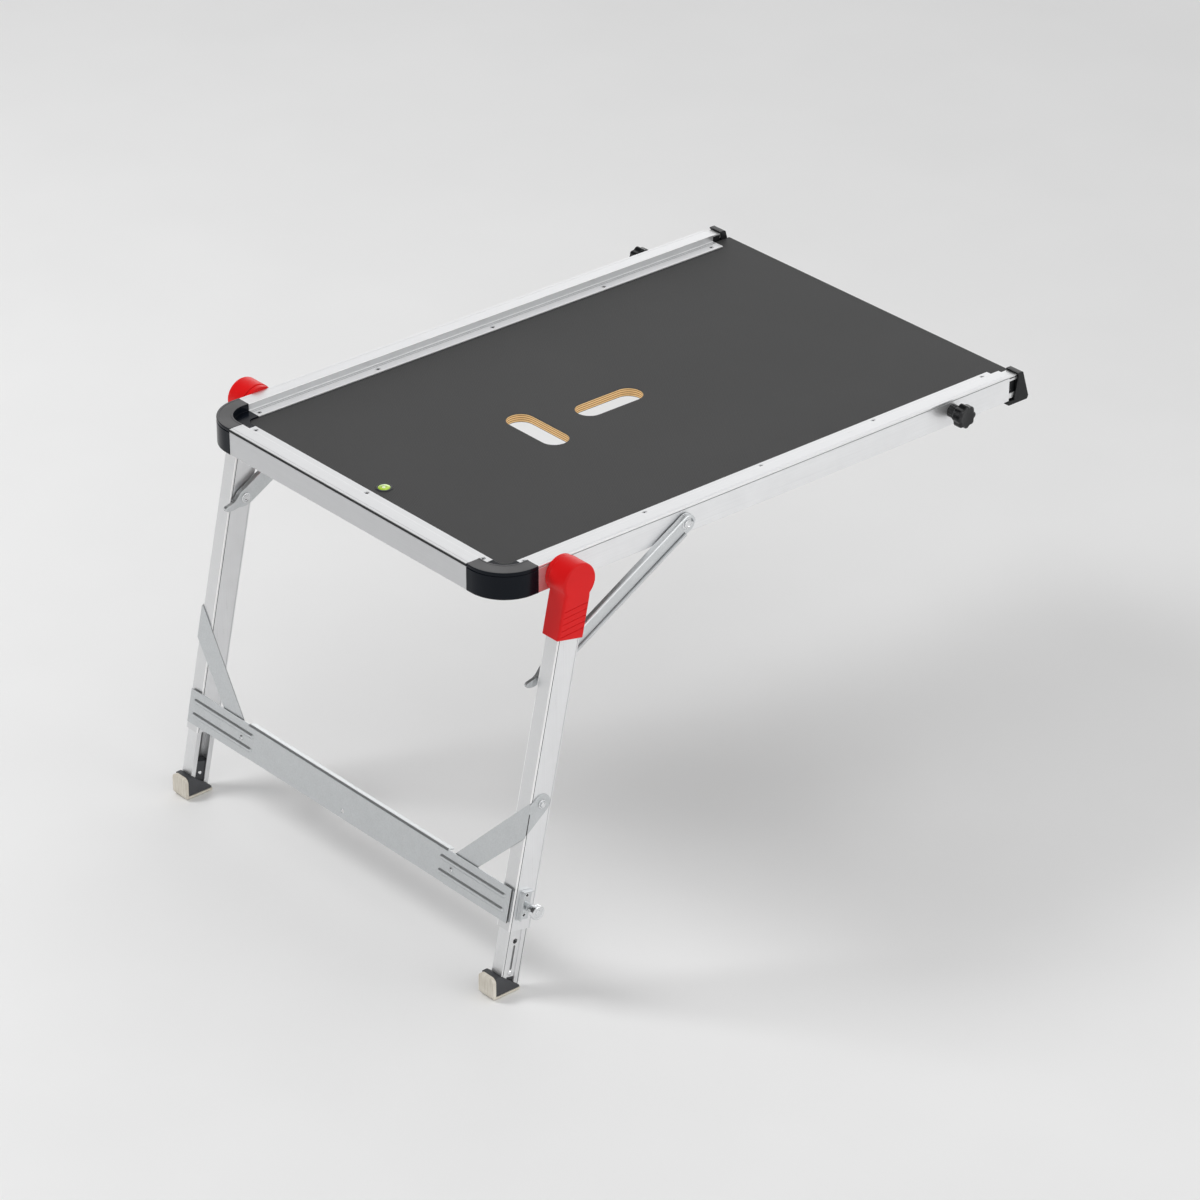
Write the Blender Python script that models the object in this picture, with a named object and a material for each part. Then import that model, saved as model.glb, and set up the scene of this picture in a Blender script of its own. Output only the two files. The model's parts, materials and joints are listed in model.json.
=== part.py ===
"""Folding stair work platform: a coated plywood deck in an aluminium frame, two telescopic
folding legs at the front and two telescopic supports sliding out of the side rails at the rear."""

import math

import bmesh
import bpy

MM = 0.001

# Drawing frame: X across, +Y towards the rear, Z up (all millimetres). MIDDLE is the point under
# the middle of the whole object on the floor, which becomes the origin at the end.
MIDDLE = (7.0, -3.3, -1.6)
RAIL_X = 309.5          # outer face of a side rail
RAIL_W = 22.0
RAIL_LOW, RAIL_TOP = 546.0, 584.0
RAIL_WALL = 2.0
RAIL_END = 447.0
FRONT_Y = -445.0        # outer face of the front rail
CORNER_R, BEND_R = 64.0, 55.0   # reach of a corner cap along each rail, and its outer radius
LEDGE_W = 21.5          # inner flange screwed down on the deck
LEDGE_LOW, LEDGE_TOP = 572.3, 574.3
LIP_W = 10.0            # lower flange carrying the deck edge
DECK_TOP, DECK_END = 572.0, 478.0
COAT_T, PLY_T = 0.7, 11.6
GAP = 0.3
SLOT_L, SLOT_W = 108.5, 40.0
SLOTS = ((0.0, -121.6, "X"), (0.0, 3.4, "Y"))
LEVEL_XY = (0.0, -380.5)
SCREW_X, SCREW_PITCH, SCREW_FIRST = 273.8, 201.3, -373.8
FRONT_SCREWS = (235.0, -409.0)

# Folding legs, described in a frame with the hinge at its origin and the leg along -Z.
HINGE_Y, HINGE_Z, LEAN = -345.5, 564.0, math.radians(11.9)
LEG_X0, LEG_X1 = 321.0, 345.5
LEG_HALF = 18.3
LEG_WALL = 1.8
LEG_TOP, LEG_END = 14.0, -483.5
INNER_HALF, INNER_WALL, INNER_LIP = 16.1, 1.8, 8.0
INNER_TOP = -310.0
CAP_X0, CAP_X1, CAP_R, CAP_HALF, CAP_END = 317.3, 349.0, 26.0, 21.3, -78.0
BAR_TOP, BAR_END, BAR_WEB_X, BAR_FLANGE_X = -424.0, -472.5, 341.0, 213.0
BAR_BEADS = (-438.5, -458.5)
GUSSET_T, GUSSET_BOLT = 1.2, -305.0
PLUNGER = -447.0
HOLE_PITCH = 27.5

# Strut between the rail pivot and the leg rivet.
RIVET = 135.0
PIVOT_Y = -138.5
STRUT_X0, STRUT_X1, STRUT_HALF = 311.2, 319.8, 13.0

# Rear support and its clamp knob.
TUBE_X0, TUBE_X1, TUBE_Z0, TUBE_Z1 = 289.9, 307.1, 548.4, 581.6
TUBE_START, TUBE_END = 250.0, 463.0
KNOB_Y, KNOB_Z = 339.5, 567.8
KNOB_X = {"left": 316.0, "right": 325.0}      # inner end of the star grip
PLUNGER_X = {"left": 361.0, "right": 375.0}   # end of the pull head

SIDES = (("left", -1.0), ("right", 1.0))


def material(name, colour, metallic, roughness):
    made = bpy.data.materials.new(name)
    made.use_nodes = True
    shader = made.node_tree.nodes["Principled BSDF"]
    shader.inputs["Base Color"].default_value = (*colour, 1.0)
    shader.inputs["Metallic"].default_value = metallic
    shader.inputs["Roughness"].default_value = roughness
    made.diffuse_color = (*colour, 1.0)
    return made


def frame(name, location, turn=0.0, parent=None):
    """An empty that carries the pieces of one body, with its origin on the joint."""
    empty = bpy.data.objects.new(name, None)
    empty.empty_display_size = 0.03
    empty.location = [v * MM for v in location]
    empty.rotation_euler = (turn, 0.0, 0.0)
    empty.parent = parent
    bpy.context.scene.collection.objects.link(empty)
    return empty


def solid(name, verts, faces, look=None, parent=None, smooth=False):
    mesh = bpy.data.meshes.new(name)
    mesh.from_pydata([[c * MM for c in v] for v in verts], [], faces)
    work = bmesh.new()
    work.from_mesh(mesh)
    bmesh.ops.recalc_face_normals(work, faces=work.faces)
    for edge in work.edges:
        edge.smooth = edge.calc_face_angle(0.0) < math.radians(35)
    for face in work.faces:
        face.smooth = smooth
    work.to_mesh(mesh)
    work.free()
    obj = bpy.data.objects.new(name, mesh)
    obj.parent = parent
    bpy.context.scene.collection.objects.link(obj)
    if look is None:
        obj.hide_render = True
        obj.display_type = "WIRE"
    else:
        mesh.materials.append(look)
    return obj


def place(axis, u, v, w):
    return {"X": (w, u, v), "Y": (u, w, v), "Z": (u, v, w)}[axis]


def prism(name, outline, axis, low, high, look=None, parent=None, smooth=False):
    """Extrude a closed outline along an axis; low and high may depend on the outline point."""
    ends = []
    for level in (low, high):
        ends += [place(axis, u, v, level(u, v) if callable(level) else level) for u, v in outline]
    n = len(outline)
    faces = [list(range(n)), list(range(n, 2 * n))]
    faces += [[i, (i + 1) % n, n + (i + 1) % n, n + i] for i in range(n)]
    return solid(name, ends, faces, look, parent, smooth)


def box(name, x, y, z, look=None, parent=None):
    return prism(name, [(x[0], y[0]), (x[1], y[0]), (x[1], y[1]), (x[0], y[1])], "Z", *z, look, parent)


def circle(cx, cy, r, n=24, start=0.0, sweep=2 * math.pi):
    steps = n if sweep >= 2 * math.pi else n - 1
    angles = [start + sweep * i / steps for i in range(n)]
    return [(cx + r * math.cos(a), cy + r * math.sin(a)) for a in angles]


def turned(name, profile, centre, look=None, parent=None, n=24, sign=1.0, axis="X"):
    """Revolve (distance along axis, radius) points, starting and ending on the axis."""
    cu, cv = centre
    verts = [place(axis, cu, cv, sign * profile[0][0])]
    rings = []
    for along, radius in profile[1:-1]:
        rings.append(len(verts))
        verts += [place(axis, u, v, sign * along) for u, v in circle(cu, cv, radius, n)]
    verts.append(place(axis, cu, cv, sign * profile[-1][0]))
    last = len(verts) - 1
    faces = [[0, rings[0] + i, rings[0] + (i + 1) % n] for i in range(n)]
    for a, b in zip(rings, rings[1:]):
        faces += [[a + i, a + (i + 1) % n, b + (i + 1) % n, b + i] for i in range(n)]
    faces += [[last, rings[-1] + (i + 1) % n, rings[-1] + i] for i in range(n)]
    return solid(name, verts, faces, look, parent, smooth=True)


def tube(name, outer, inner, axis, low, high, look, parent):
    """A straight tube whose outer and inner outlines have the same number of corners."""
    n = len(outer)
    verts = [place(axis, u, v, w) for w in (low, high) for ring in (outer, inner) for u, v in ring]
    faces = []
    for i in range(n):
        j = (i + 1) % n
        faces += [[i, j, n + j, n + i], [2 * n + i, 2 * n + j, 3 * n + j, 3 * n + i]]
        faces += [[i, j, 2 * n + j, 2 * n + i], [n + i, n + j, 3 * n + j, 3 * n + i]]
    return solid(name, verts, faces, look, parent)


def boolean(obj, tool, operation="DIFFERENCE"):
    step = obj.modifiers.new(operation.lower(), "BOOLEAN")
    step.operation = operation
    step.solver = "EXACT"
    step.object = tool


def soften(obj, width, segments=2, angle=40):
    step = obj.modifiers.new("soften", "BEVEL")
    step.width = width * MM
    step.segments = segments
    step.limit_method = "ANGLE"
    step.angle_limit = math.radians(angle)


def chamfered(x0, x1, y0, y1, c):
    return [(x0 + c, y0), (x1 - c, y0), (x1, y0 + c), (x1, y1 - c),
            (x1 - c, y1), (x0 + c, y1), (x0, y1 - c), (x0, y0 + c)]


def channel(x0, x1, y0, y1, wall, lip):
    """C section, open on the x1 side between two lips."""
    step = math.copysign(wall, x1 - x0)
    return [(x1, y0 + lip), (x1, y0), (x0, y0), (x0, y1), (x1, y1), (x1, y1 - lip),
            (x1 - step, y1 - lip), (x1 - step, y1 - wall), (x0 + step, y1 - wall),
            (x0 + step, y0 + wall), (x1 - step, y0 + wall), (x1 - step, y0 + lip)]


def stadium(cx, cy, length, width, axis):
    r, half = width / 2, (length - width) / 2
    ends = circle(half, 0, r, 13, -math.pi / 2, math.pi) + circle(-half, 0, r, 13, math.pi / 2, math.pi)
    return [(cx + u, cy + v) if axis == "X" else (cx - v, cy + u) for u, v in ends]


def to_leg(y, z):
    """A point of the standing object seen in the leg frame."""
    dy, dz = y - HINGE_Y, z - HINGE_Z
    return (math.cos(LEAN) * dy - math.sin(LEAN) * dz, math.sin(LEAN) * dy + math.cos(LEAN) * dz)


for old in list(bpy.data.objects):
    bpy.data.objects.remove(old)

ALU = material("anodised_aluminium", (0.72, 0.73, 0.74), 0.9, 0.35)
LEG_ALU = material("extruded_leg_aluminium", (0.70, 0.71, 0.72), 0.9, 0.32)
ZINC = material("zinc_plated_steel", (0.60, 0.62, 0.64), 0.9, 0.38)
BRIGHT = material("bright_zinc_fastener", (0.74, 0.75, 0.76), 1.0, 0.25)
PLY = material("birch_plywood", (0.72, 0.48, 0.26), 0.0, 0.6)
COAT = material("anti_slip_coating", (0.065, 0.065, 0.065), 0.0, 0.7)
BLACK = material("black_plastic", (0.018, 0.019, 0.022), 0.0, 0.42)
STRIP = material("black_rubber_strip", (0.012, 0.012, 0.012), 0.0, 0.7)
RED = material("red_plastic", (0.62, 0.02, 0.02), 0.0, 0.35)
GREY = material("dark_grey_plastic", (0.06, 0.062, 0.066), 0.0, 0.5)
SOLE = material("beige_rubber", (0.66, 0.61, 0.50), 0.0, 0.8)
GREEN = material("level_fluid", (0.35, 0.62, 0.03), 0.0, 0.15)

# ---------------------------------------------------------------- deck
corner_x, corner_y = RAIL_X - CORNER_R, FRONT_Y + CORNER_R
bend_x, bend_y = RAIL_X - BEND_R, FRONT_Y + BEND_R
deck_r = BEND_R - RAIL_W - GAP
deck_outline = (circle(bend_x, bend_y, deck_r, 11, -math.pi / 2, math.pi / 2)
                + [(bend_x + deck_r, DECK_END), (-bend_x - deck_r, DECK_END)]
                + circle(-bend_x, bend_y, deck_r, 11, math.pi, math.pi / 2))
ply_top = DECK_TOP - COAT_T - GAP
deck = prism("deck_panel", deck_outline, "Z", ply_top - PLY_T, ply_top, PLY)
coating = prism("deck_coating", deck_outline, "Z", DECK_TOP - COAT_T, DECK_TOP, COAT)
for i, (cx, cy, along) in enumerate(SLOTS):
    cut = prism(f"cut_hand_slot_{i}", stadium(cx, cy, SLOT_L, SLOT_W, along), "Z", 540, 590)
    boolean(deck, cut)
    boolean(coating, cut)
boolean(deck, prism("cut_level_pocket", circle(*LEVEL_XY, 9.4), "Z", 563, 590))
boolean(coating, prism("cut_level_rim", circle(*LEVEL_XY, 11.3), "Z", 565, 590))
turned("level_housing", [(563.6, 0), (563.6, 9), (571.3, 9), (571.3, 11), (572.8, 11), (573.2, 10.4),
                         (573.2, 8.6), (572.4, 8.4), (572.4, 0)], LEVEL_XY, GREY, axis="Z")
turned("level_vial", [(572.7, 0), (572.7, 8.0), (573.4, 7.6), (574.2, 5.4), (574.6, 0)], LEVEL_XY,
       GREEN, axis="Z")

# ---------------------------------------------------------------- deck frame
inner = RAIL_X - RAIL_W
rail_outline = [(inner, RAIL_LOW), (RAIL_X, RAIL_LOW), (RAIL_X, 580.6), (RAIL_X - 0.8, 580.6),
                (RAIL_X - 0.8, 581.7), (RAIL_X, 581.7), (RAIL_X, RAIL_TOP), (inner, RAIL_TOP),
                (inner, LEDGE_TOP), (inner - LEDGE_W, LEDGE_TOP), (inner - LEDGE_W, LEDGE_LOW),
                (inner, LEDGE_LOW), (inner, 559.1), (inner - LIP_W, 559.1), (inner - LIP_W, 557.1),
                (inner, 557.1)]
cavity = (inner + RAIL_WALL, RAIL_X - RAIL_WALL)
for side, s in SIDES:
    rail = prism(f"side_rail_{side}", [(s * u, v) for u, v in rail_outline], "Y",
                 corner_y + GAP, RAIL_END, ALU)
    hollow = box(f"cut_rail_{side}", sorted(s * c for c in cavity), (corner_y - 5, RAIL_END + 5),
                 (RAIL_LOW + RAIL_WALL, RAIL_TOP - RAIL_WALL))
    boolean(rail, hollow)

# The front rail has the same section, turned to run across, with a black strip under its top edge.
front_outline = [(FRONT_Y + RAIL_X - u, v) for u, v in rail_outline]
front_outline[2:6] = [(FRONT_Y, 579.6), (FRONT_Y + 1.2, 579.6), (FRONT_Y + 1.2, 583.2), (FRONT_Y, 583.2)]
front = prism("front_rail", front_outline, "X", -corner_x + GAP, corner_x - GAP, ALU)
boolean(front, box("cut_front_rail", (-corner_x - 5, corner_x + 5),
                   (FRONT_Y + RAIL_WALL, FRONT_Y + RAIL_W - RAIL_WALL),
                   (RAIL_LOW + RAIL_WALL, RAIL_TOP - RAIL_WALL)))
box("front_rail_strip", (-corner_x + 0.6, corner_x - 0.6), (FRONT_Y - 0.4, FRONT_Y + 0.9),
    (579.9, 582.9), STRIP)

ring = [(BEND_R - RAIL_W - LEDGE_W, LEDGE_TOP), (BEND_R - RAIL_W - LEDGE_W, LEDGE_LOW),
        (BEND_R - RAIL_W, LEDGE_LOW), (BEND_R - RAIL_W, 545.4), (BEND_R - 1.4, 545.4),
        (BEND_R + 0.5, 547.2), (BEND_R + 0.5, 582.6), (BEND_R - 1.6, 584.7),
        (BEND_R - RAIL_W + 1.2, 584.7), (BEND_R - RAIL_W, 583.4), (BEND_R - RAIL_W, LEDGE_TOP)]
stations = [(corner_x, bend_y, 0, -1)]
stations += [(bend_x, bend_y, c, d) for c, d in circle(0, 0, 1, 15, -math.pi / 2, math.pi / 2)]
stations += [(bend_x, corner_y, 1, 0)]
for side, s in SIDES:
    verts = [(s * (cx + c * r), cy + d * r, z) for cx, cy, c, d in stations for r, z in ring]
    n, last = len(ring), len(stations) - 1
    faces = [list(range(n)), list(range(last * n, last * n + n))]
    faces += [[k * n + i, k * n + (i + 1) % n, (k + 1) * n + (i + 1) % n, (k + 1) * n + i]
              for k in range(last) for i in range(n)]
    solid(f"corner_cap_{side}", verts, faces, BLACK, smooth=True)

screw = [(574.6, 0), (574.6, 3.6), (575.4, 3.3), (575.9, 2.0), (576.0, 0)]
for side, s in SIDES:
    for i in range(5):
        turned(f"deck_screw_{side}_{i + 1}", screw, (s * SCREW_X, SCREW_FIRST + SCREW_PITCH * i),
               BRIGHT, n=12, axis="Z")
for i in range(3):
    turned(f"deck_screw_front_{i + 1}", screw, (FRONT_SCREWS[0] * (i - 1), FRONT_SCREWS[1]),
           BRIGHT, n=12, axis="Z")

for side, s in SIDES:
    turned(f"hinge_boss_{side}", [(309.8, 0), (309.8, 25), (316.2, 25), (317.0, 24.2), (317.0, 6),
                                  (347.2, 6), (347.2, 0)], (HINGE_Y, HINGE_Z), RED, n=32, sign=s)
    turned(f"pivot_washer_{side}", [(309.8, 0), (309.8, 9), (310.8, 9), (310.8, 0)],
           (PIVOT_Y, HINGE_Z), BRIGHT, sign=s)

# ---------------------------------------------------------------- folding leg frame
bar_back = -LEG_HALF - GUSSET_T - 2 * GAP
bar_front = bar_back - 1.6
leg = frame("leg_fold_axis", (0, HINGE_Y, HINGE_Z), -LEAN)
for side, s in SIDES:
    x0, x1 = sorted((s * LEG_X0, s * LEG_X1))
    outer = tube(f"leg_tube_{side}", chamfered(x0, x1, -LEG_HALF, LEG_HALF, 1.4),
                 chamfered(x0 + LEG_WALL, x1 - LEG_WALL, LEG_WALL - LEG_HALF, LEG_HALF - LEG_WALL, 0.5),
                 "Z", LEG_END, LEG_TOP, LEG_ALU, leg)
    bore = turned(f"cut_hinge_{side}", [(316, 0), (316, 6.4), (347.6, 6.4), (347.6, 0)], (0, 0),
                  None, leg, sign=s)
    boolean(outer, bore)
    boolean(outer, turned(f"cut_plunger_{side}", [(338, 0), (338, 4.2), (362, 4.2), (362, 0)],
                          (0, PLUNGER), None, leg, sign=s))

    meet = math.asin(CAP_HALF / CAP_R)
    head = circle(0, 0, CAP_R, 25, -math.pi / 2 + meet, 2 * math.pi - 2 * meet)
    cap = prism(f"hinge_cap_{side}", head + [(-CAP_HALF, CAP_END), (CAP_HALF, CAP_END)], "X",
                *sorted((s * CAP_X0, s * CAP_X1)), RED, leg)
    soften(cap, 2.2, 2)
    boolean(cap, box(f"cut_cap_{side}", sorted((s * (LEG_X0 - GAP), s * (LEG_X1 + GAP))),
                     (-LEG_HALF - GAP, LEG_HALF + GAP), (CAP_END - 5, LEG_TOP + GAP), None, leg))
    boolean(cap, bore)
    ribs = []
    for k in range(5):
        mid = -32.0 - 9.0 * k
        ribs.append([(-30, mid - 7.2), (30, mid + 5.4), (30, mid + 7.2), (-30, mid - 5.4)])
    verts, faces = [], []
    for rib in ribs:
        base = len(verts)
        verts += [(s * x, y, z) for x in (CAP_X1 - 0.8, CAP_X1 + 4) for y, z in rib]
        faces += [[base + i for i in f] for f in ([0, 1, 2, 3], [4, 5, 6, 7], [0, 1, 5, 4],
                                                  [1, 2, 6, 5], [2, 3, 7, 6], [3, 0, 4, 7])]
    boolean(cap, solid(f"cut_ribs_{side}", verts, faces, None, leg))

    front_face = -LEG_HALF - GAP
    gusset = prism(f"gusset_{side}", [(s * x, z) for x, z in
                                      ((347.0, -303.5), (344.0, -303.5), (229, -421), (214, -436),
                                       (214, -469), (343, -469), (343, -426), (269, -426), (347.0, -350))],
                   "Y", front_face - GUSSET_T, front_face, ZINC, leg)
    arm = [(front_face - GUSSET_T, -304.0), (-13.0, GUSSET_BOLT + 6.5)]
    arm += circle(0, GUSSET_BOLT, 14, 11, math.pi * 0.78, -math.pi)
    arm += [(front_face - GUSSET_T, -349.5)]
    boolean(gusset, prism(f"join_gusset_{side}", arm, "X", *sorted((s * 345.8, s * 347.0)), None, leg),
            "UNION")
    turned(f"gusset_bolt_{side}", [(347.6, 0), (347.6, 6.5), (350.4, 6.5), (351.4, 5.2), (351.4, 0)],
           (0, GUSSET_BOLT), BRIGHT, leg, sign=s)

    turned(f"crossbar_rivet_{side}", [(bar_front - GAP, 0), (bar_front - GAP, 3.4), (bar_front - 1.0, 3.2),
                                      (bar_front - 1.6, 2.0), (bar_front - 1.8, 0)],
           (s * 224, (BAR_BEADS[0] + BAR_BEADS[1]) / 2), BRIGHT, leg, n=16, axis="Y")

    bracket = box(f"plunger_bracket_{side}", sorted((s * 345.8, s * 347.2)), (-10.2, 9.0),
                  (PLUNGER - 21, PLUNGER + 20.8), ZINC, leg)
    boolean(bracket, box(f"join_bracket_front_{side}", sorted((s * 346.3, s * 355.0)), (-10.4, -9.0),
                         (PLUNGER - 19, PLUNGER + 19), None, leg), "UNION")
    boolean(bracket, box(f"join_bracket_top_{side}", sorted((s * 346.3, s * 353.0)), (-9.6, 7.0),
                         (PLUNGER + 19.6, PLUNGER + 21), None, leg), "UNION")
    boolean(bracket, turned(f"join_barrel_{side}", [(346.3, 0), (346.3, 5.6), (357, 5.6), (357, 0)],
                            (0, PLUNGER), None, leg, sign=s), "UNION")
    boolean(bracket, bpy.data.objects[f"cut_plunger_{side}"])
    turned(f"strut_rivet_{side}", [(310.0, 0), (310.0, 6.6), (310.5, 7.2), (310.9, 7.2), (310.9, 4),
                                   (320.2, 4), (320.2, 0)], (0, -RIVET), BRIGHT, leg, sign=s)

crossbar = box("crossbar", (-BAR_WEB_X, BAR_WEB_X), (bar_front, bar_back), (BAR_END, BAR_TOP), ZINC, leg)
for k, (low, high) in enumerate(((BAR_TOP - 1.6, BAR_TOP), (BAR_END, BAR_END + 1.6))):
    boolean(crossbar, box(f"join_flange_{k}", (-BAR_FLANGE_X, BAR_FLANGE_X), (bar_back - 0.8, bar_back + 9),
                          (low, high), None, leg), "UNION")
for side, s in SIDES:
    for k, level in enumerate(BAR_BEADS):
        boolean(crossbar, prism(f"join_bar_bead_{side}_{k}", stadium(s * 265.8, level, 133, 7.0, "X"), "Y",
                                bar_front - 1.2, bar_front + 0.8, None, leg), "UNION")
boolean(crossbar, prism("cut_bar_hole", circle(0, -461.5, 3.2, 16), "Y", bar_front - 2, bar_back + 2,
                        None, leg))

# ---------------------------------------------------------------- struts
rivet_y = HINGE_Y - RIVET * math.sin(LEAN)
rivet_z = HINGE_Z - RIVET * math.cos(LEAN)
STRUT_LEN = math.hypot(PIVOT_Y - rivet_y, HINGE_Z - rivet_z)
strut_rise = math.atan2(HINGE_Z - rivet_z, PIVOT_Y - rivet_y)
for side, s in SIDES:
    pin = frame(f"strut_axis_{side}", (0, 0, -RIVET), strut_rise + LEAN, leg)
    xs = sorted((s * STRUT_X0, s * STRUT_X1))
    body = (circle(STRUT_LEN, 0, STRUT_HALF, 13, -math.pi / 2, math.pi)
            + [(2, STRUT_HALF), (-4, 12.6), (-11, 9.2), (-18, 7.9), (-25, 10.0), (-30, 11.6), (-33, 10.4),
               (-34.2, 7.6), (-32, 3.8), (-25.5, -0.8), (-16, -4.0), (-6, -11.2), (4, -STRUT_HALF)])
    strut = prism(f"strut_{side}", body, "X", *xs, ZINC, pin)
    trough = (circle(STRUT_LEN, 0, STRUT_HALF - 1.8, 13, -math.pi / 2, math.pi)
              + circle(0, 0, STRUT_HALF - 1.8, 13, math.pi / 2, math.pi))
    boolean(strut, prism(f"cut_strut_{side}", trough, "X", *sorted((s * (STRUT_X0 + 1.8), s * 325)),
                         None, pin))
    boolean(strut, prism(f"cut_finger_{side}", [(-50, -30), (-12.5, -30), (-12.5, 30), (-50, 30)], "X",
                         *sorted((s * 316.4, s * 326)), None, pin))
    boolean(strut, turned(f"cut_rivet_{side}", [(305, 0), (305, 4.4), (325, 4.4), (325, 0)], (0, 0),
                          None, pin, sign=s))
    turned(f"strut_bolt_{side}", [(313.3, 0), (313.3, 8.5), (314.6, 8.5), (314.6, 6.6), (318.2, 6.4),
                                  (319.2, 5.4), (319.2, 0)], (STRUT_LEN, 0), BRIGHT, pin, sign=s)

# ---------------------------------------------------------------- telescopic inner legs and feet
seat = (to_leg(-477.5, 33.0), to_leg(-445.5, 7.1))
slope = (seat[1][1] - seat[0][1]) / (seat[1][0] - seat[0][0])


def on_seat(u, v):
    """Lower end of the inner leg, cut to the sloping top of the foot."""
    return seat[0][1] + slope * (v - seat[0][0])


for side, s in SIDES:
    slide = frame(f"inner_leg_slide_{side}", (0, 0, 0), 0.0, leg)
    x_in, x_out = s * (LEG_X0 + LEG_WALL + 0.4), s * (LEG_X1 - LEG_WALL - 0.4)
    inner_leg = prism(f"inner_leg_{side}",
                      channel(x_out, x_in, -INNER_HALF, INNER_HALF, INNER_WALL, INNER_LIP), "Z",
                      on_seat, INNER_TOP, LEG_ALU, slide)
    slot = prism(f"cut_inner_slot_{side}", stadium(0, -524, 38, 4.4, "Y"), "X",
                 *sorted((s * 339, s * 350)), None, slide)
    boolean(inner_leg, slot)
    verts, faces = [], []
    for k in range(-3, 3):
        base = len(verts)
        hole = circle(0, PLUNGER - HOLE_PITCH * k, 3.6, 12)
        verts += [(s * x, u, v) for x in (339, 350) for u, v in hole]
        faces += [[base + i for i in range(12)], [base + 12 + i for i in range(12)]]
        faces += [[base + i, base + (i + 1) % 12, base + 12 + (i + 1) % 12, base + 12 + i]
                  for i in range(12)]
    boolean(inner_leg, solid(f"cut_inner_holes_{side}", verts, faces, None, slide))

    wedge = [to_leg(y, z) for y, z in ((-484.5, 4.0), (-445.3, 4.0), (-445.3, 6.4), (-476.3, 31.4),
                                       (-484.5, 31.4))]
    foot = prism(f"foot_{side}", wedge, "X", *sorted((s * 316.2, s * 344.6)), GREY, slide)
    boolean(foot, box(f"join_plug_{side}", sorted((s * 325.4, s * 341.0)), (-13.8, 13.8),
                      (-562.5, -530.0), None, slide), "UNION")
    pad = [(-444.8, -1.6), (-482.6, -1.6)]
    pad += circle(-482.6, 5.9, 7.5, 7, -math.pi / 2, -math.pi / 2)[1:]
    pad += [(-490.1, 29.2), (-489.3, 31.2), (-487.6, 31.8), (-484.8, 31.8), (-484.8, 3.7), (-444.8, 3.7)]
    sole = prism(f"sole_{side}", [to_leg(y, z) for y, z in pad], "X", *sorted((s * 315.6, s * 345.2)),
                 SOLE, slide)
    mask = []
    for cx, cz, r, k in ((340.7, 2.9, 4.5, -1), (338.2, 24.8, 7.0, 0), (322.6, 24.8, 7.0, 1),
                         (320.1, 2.9, 4.5, 2)):
        mask += [(s * u, v) for u, v in circle(cx, cz, r, 7, k * math.pi / 2, math.pi / 2)]
    boolean(sole, prism(f"keep_sole_{side}", mask, "Y", -500, -430), "INTERSECT")

    pull = frame(f"plunger_slide_{side}", (0, 0, PLUNGER), 0.0, leg)
    end = PLUNGER_X[side]
    if side == "right":
        grip = [(358.0, 5.6), (end - 9.0, 5.6), (end - 7.5, 9.2), (end - 6.3, 10.0), (end - 1.4, 10.0),
                (end, 8.6), (end, 0)]
    else:
        grip = [(358.0, 5.6), (end - 0.8, 5.6), (end, 4.8), (end, 0)]
    turned(f"plunger_{side}", [(344.0, 0), (344.0, 3.4), (358.0, 3.4)] + grip, (0, 0), BRIGHT, pull, sign=s)

# ---------------------------------------------------------------- rear supports and clamp knobs
for side, s in SIDES:
    slide = frame(f"rear_support_slide_{side}", (0, 0, 0))
    mid, w, lip = (TUBE_X0 + TUBE_X1) / 2, 1.7, 7.5
    half = [(TUBE_X1, TUBE_Z0), (TUBE_X1, TUBE_Z0 + lip), (TUBE_X1 - w, TUBE_Z0 + lip),
            (TUBE_X1 - w, TUBE_Z0 + w), (mid + w / 2, TUBE_Z0 + w), (mid + w / 2, TUBE_Z1 - w),
            (TUBE_X1 - w, TUBE_Z1 - w), (TUBE_X1 - w, TUBE_Z1 - lip), (TUBE_X1, TUBE_Z1 - lip),
            (TUBE_X1, TUBE_Z1)]
    section = half + [(2 * mid - u, v) for u, v in reversed(half)]
    prism(f"rear_support_tube_{side}", [(s * u, v) for u, v in section], "Y", TUBE_START, TUBE_END,
          ALU, slide)
    shoe = [(461.5, 582.0), (461.5, 584.3), (469.8, 584.3), (471.8, 583.0), (483.5, 544.5),
            (481.0, 540.0), (446.8, 540.0), (444.3, 541.6), (444.3, 545.6), (463.4, 545.6), (463.4, 582.0)]
    rear_foot = prism(f"rear_foot_{side}", shoe, "X", *sorted((s * 288.2, s * 310.6)),
                      BLACK, slide)
    cheek = [(456.5, 544.0), (463.8, 583.0), (468.0, 583.0), (468.0, 544.0)]
    boolean(rear_foot, prism(f"join_cheek_{side}", cheek, "X", *sorted((s * 307.5, s * 310.4)),
                             None, slide), "UNION")
    halves = ((TUBE_X0 + w + 0.4, mid - w / 2 - 0.4), (mid + w / 2 + 0.4, TUBE_X1 - w - 0.4))
    for k, (low, high) in enumerate(halves):
        boolean(rear_foot, box(f"join_rear_plug_{side}_{k}", sorted((s * low, s * high)), (448.0, 468.0),
                               (TUBE_Z0 + w + 0.5, TUBE_Z1 - w - 0.5), None, slide), "UNION")

    knob = frame(f"clamp_knob_axis_{side}", (0, KNOB_Y, KNOB_Z))
    grip = KNOB_X[side]
    lobes = []
    for k in range(48):
        a = 2 * math.pi * k / 48
        r = 15.5 + 1.1 * math.cos(8 * a)
        lobes.append((r * math.cos(a), r * math.sin(a)))
    star = prism(f"clamp_knob_{side}", lobes, "X", *sorted((s * grip, s * (grip + 15))), BLACK, knob)
    soften(star, 1.0, 1)
    boolean(star, turned(f"join_neck_{side}", [(309.8, 0), (309.8, 8.5), (grip - 5, 8.5), (grip - 1, 11.0),
                                              (grip + 2, 11.0), (grip + 2, 0)], (0, 0), None, knob, sign=s),
            "UNION")

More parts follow.
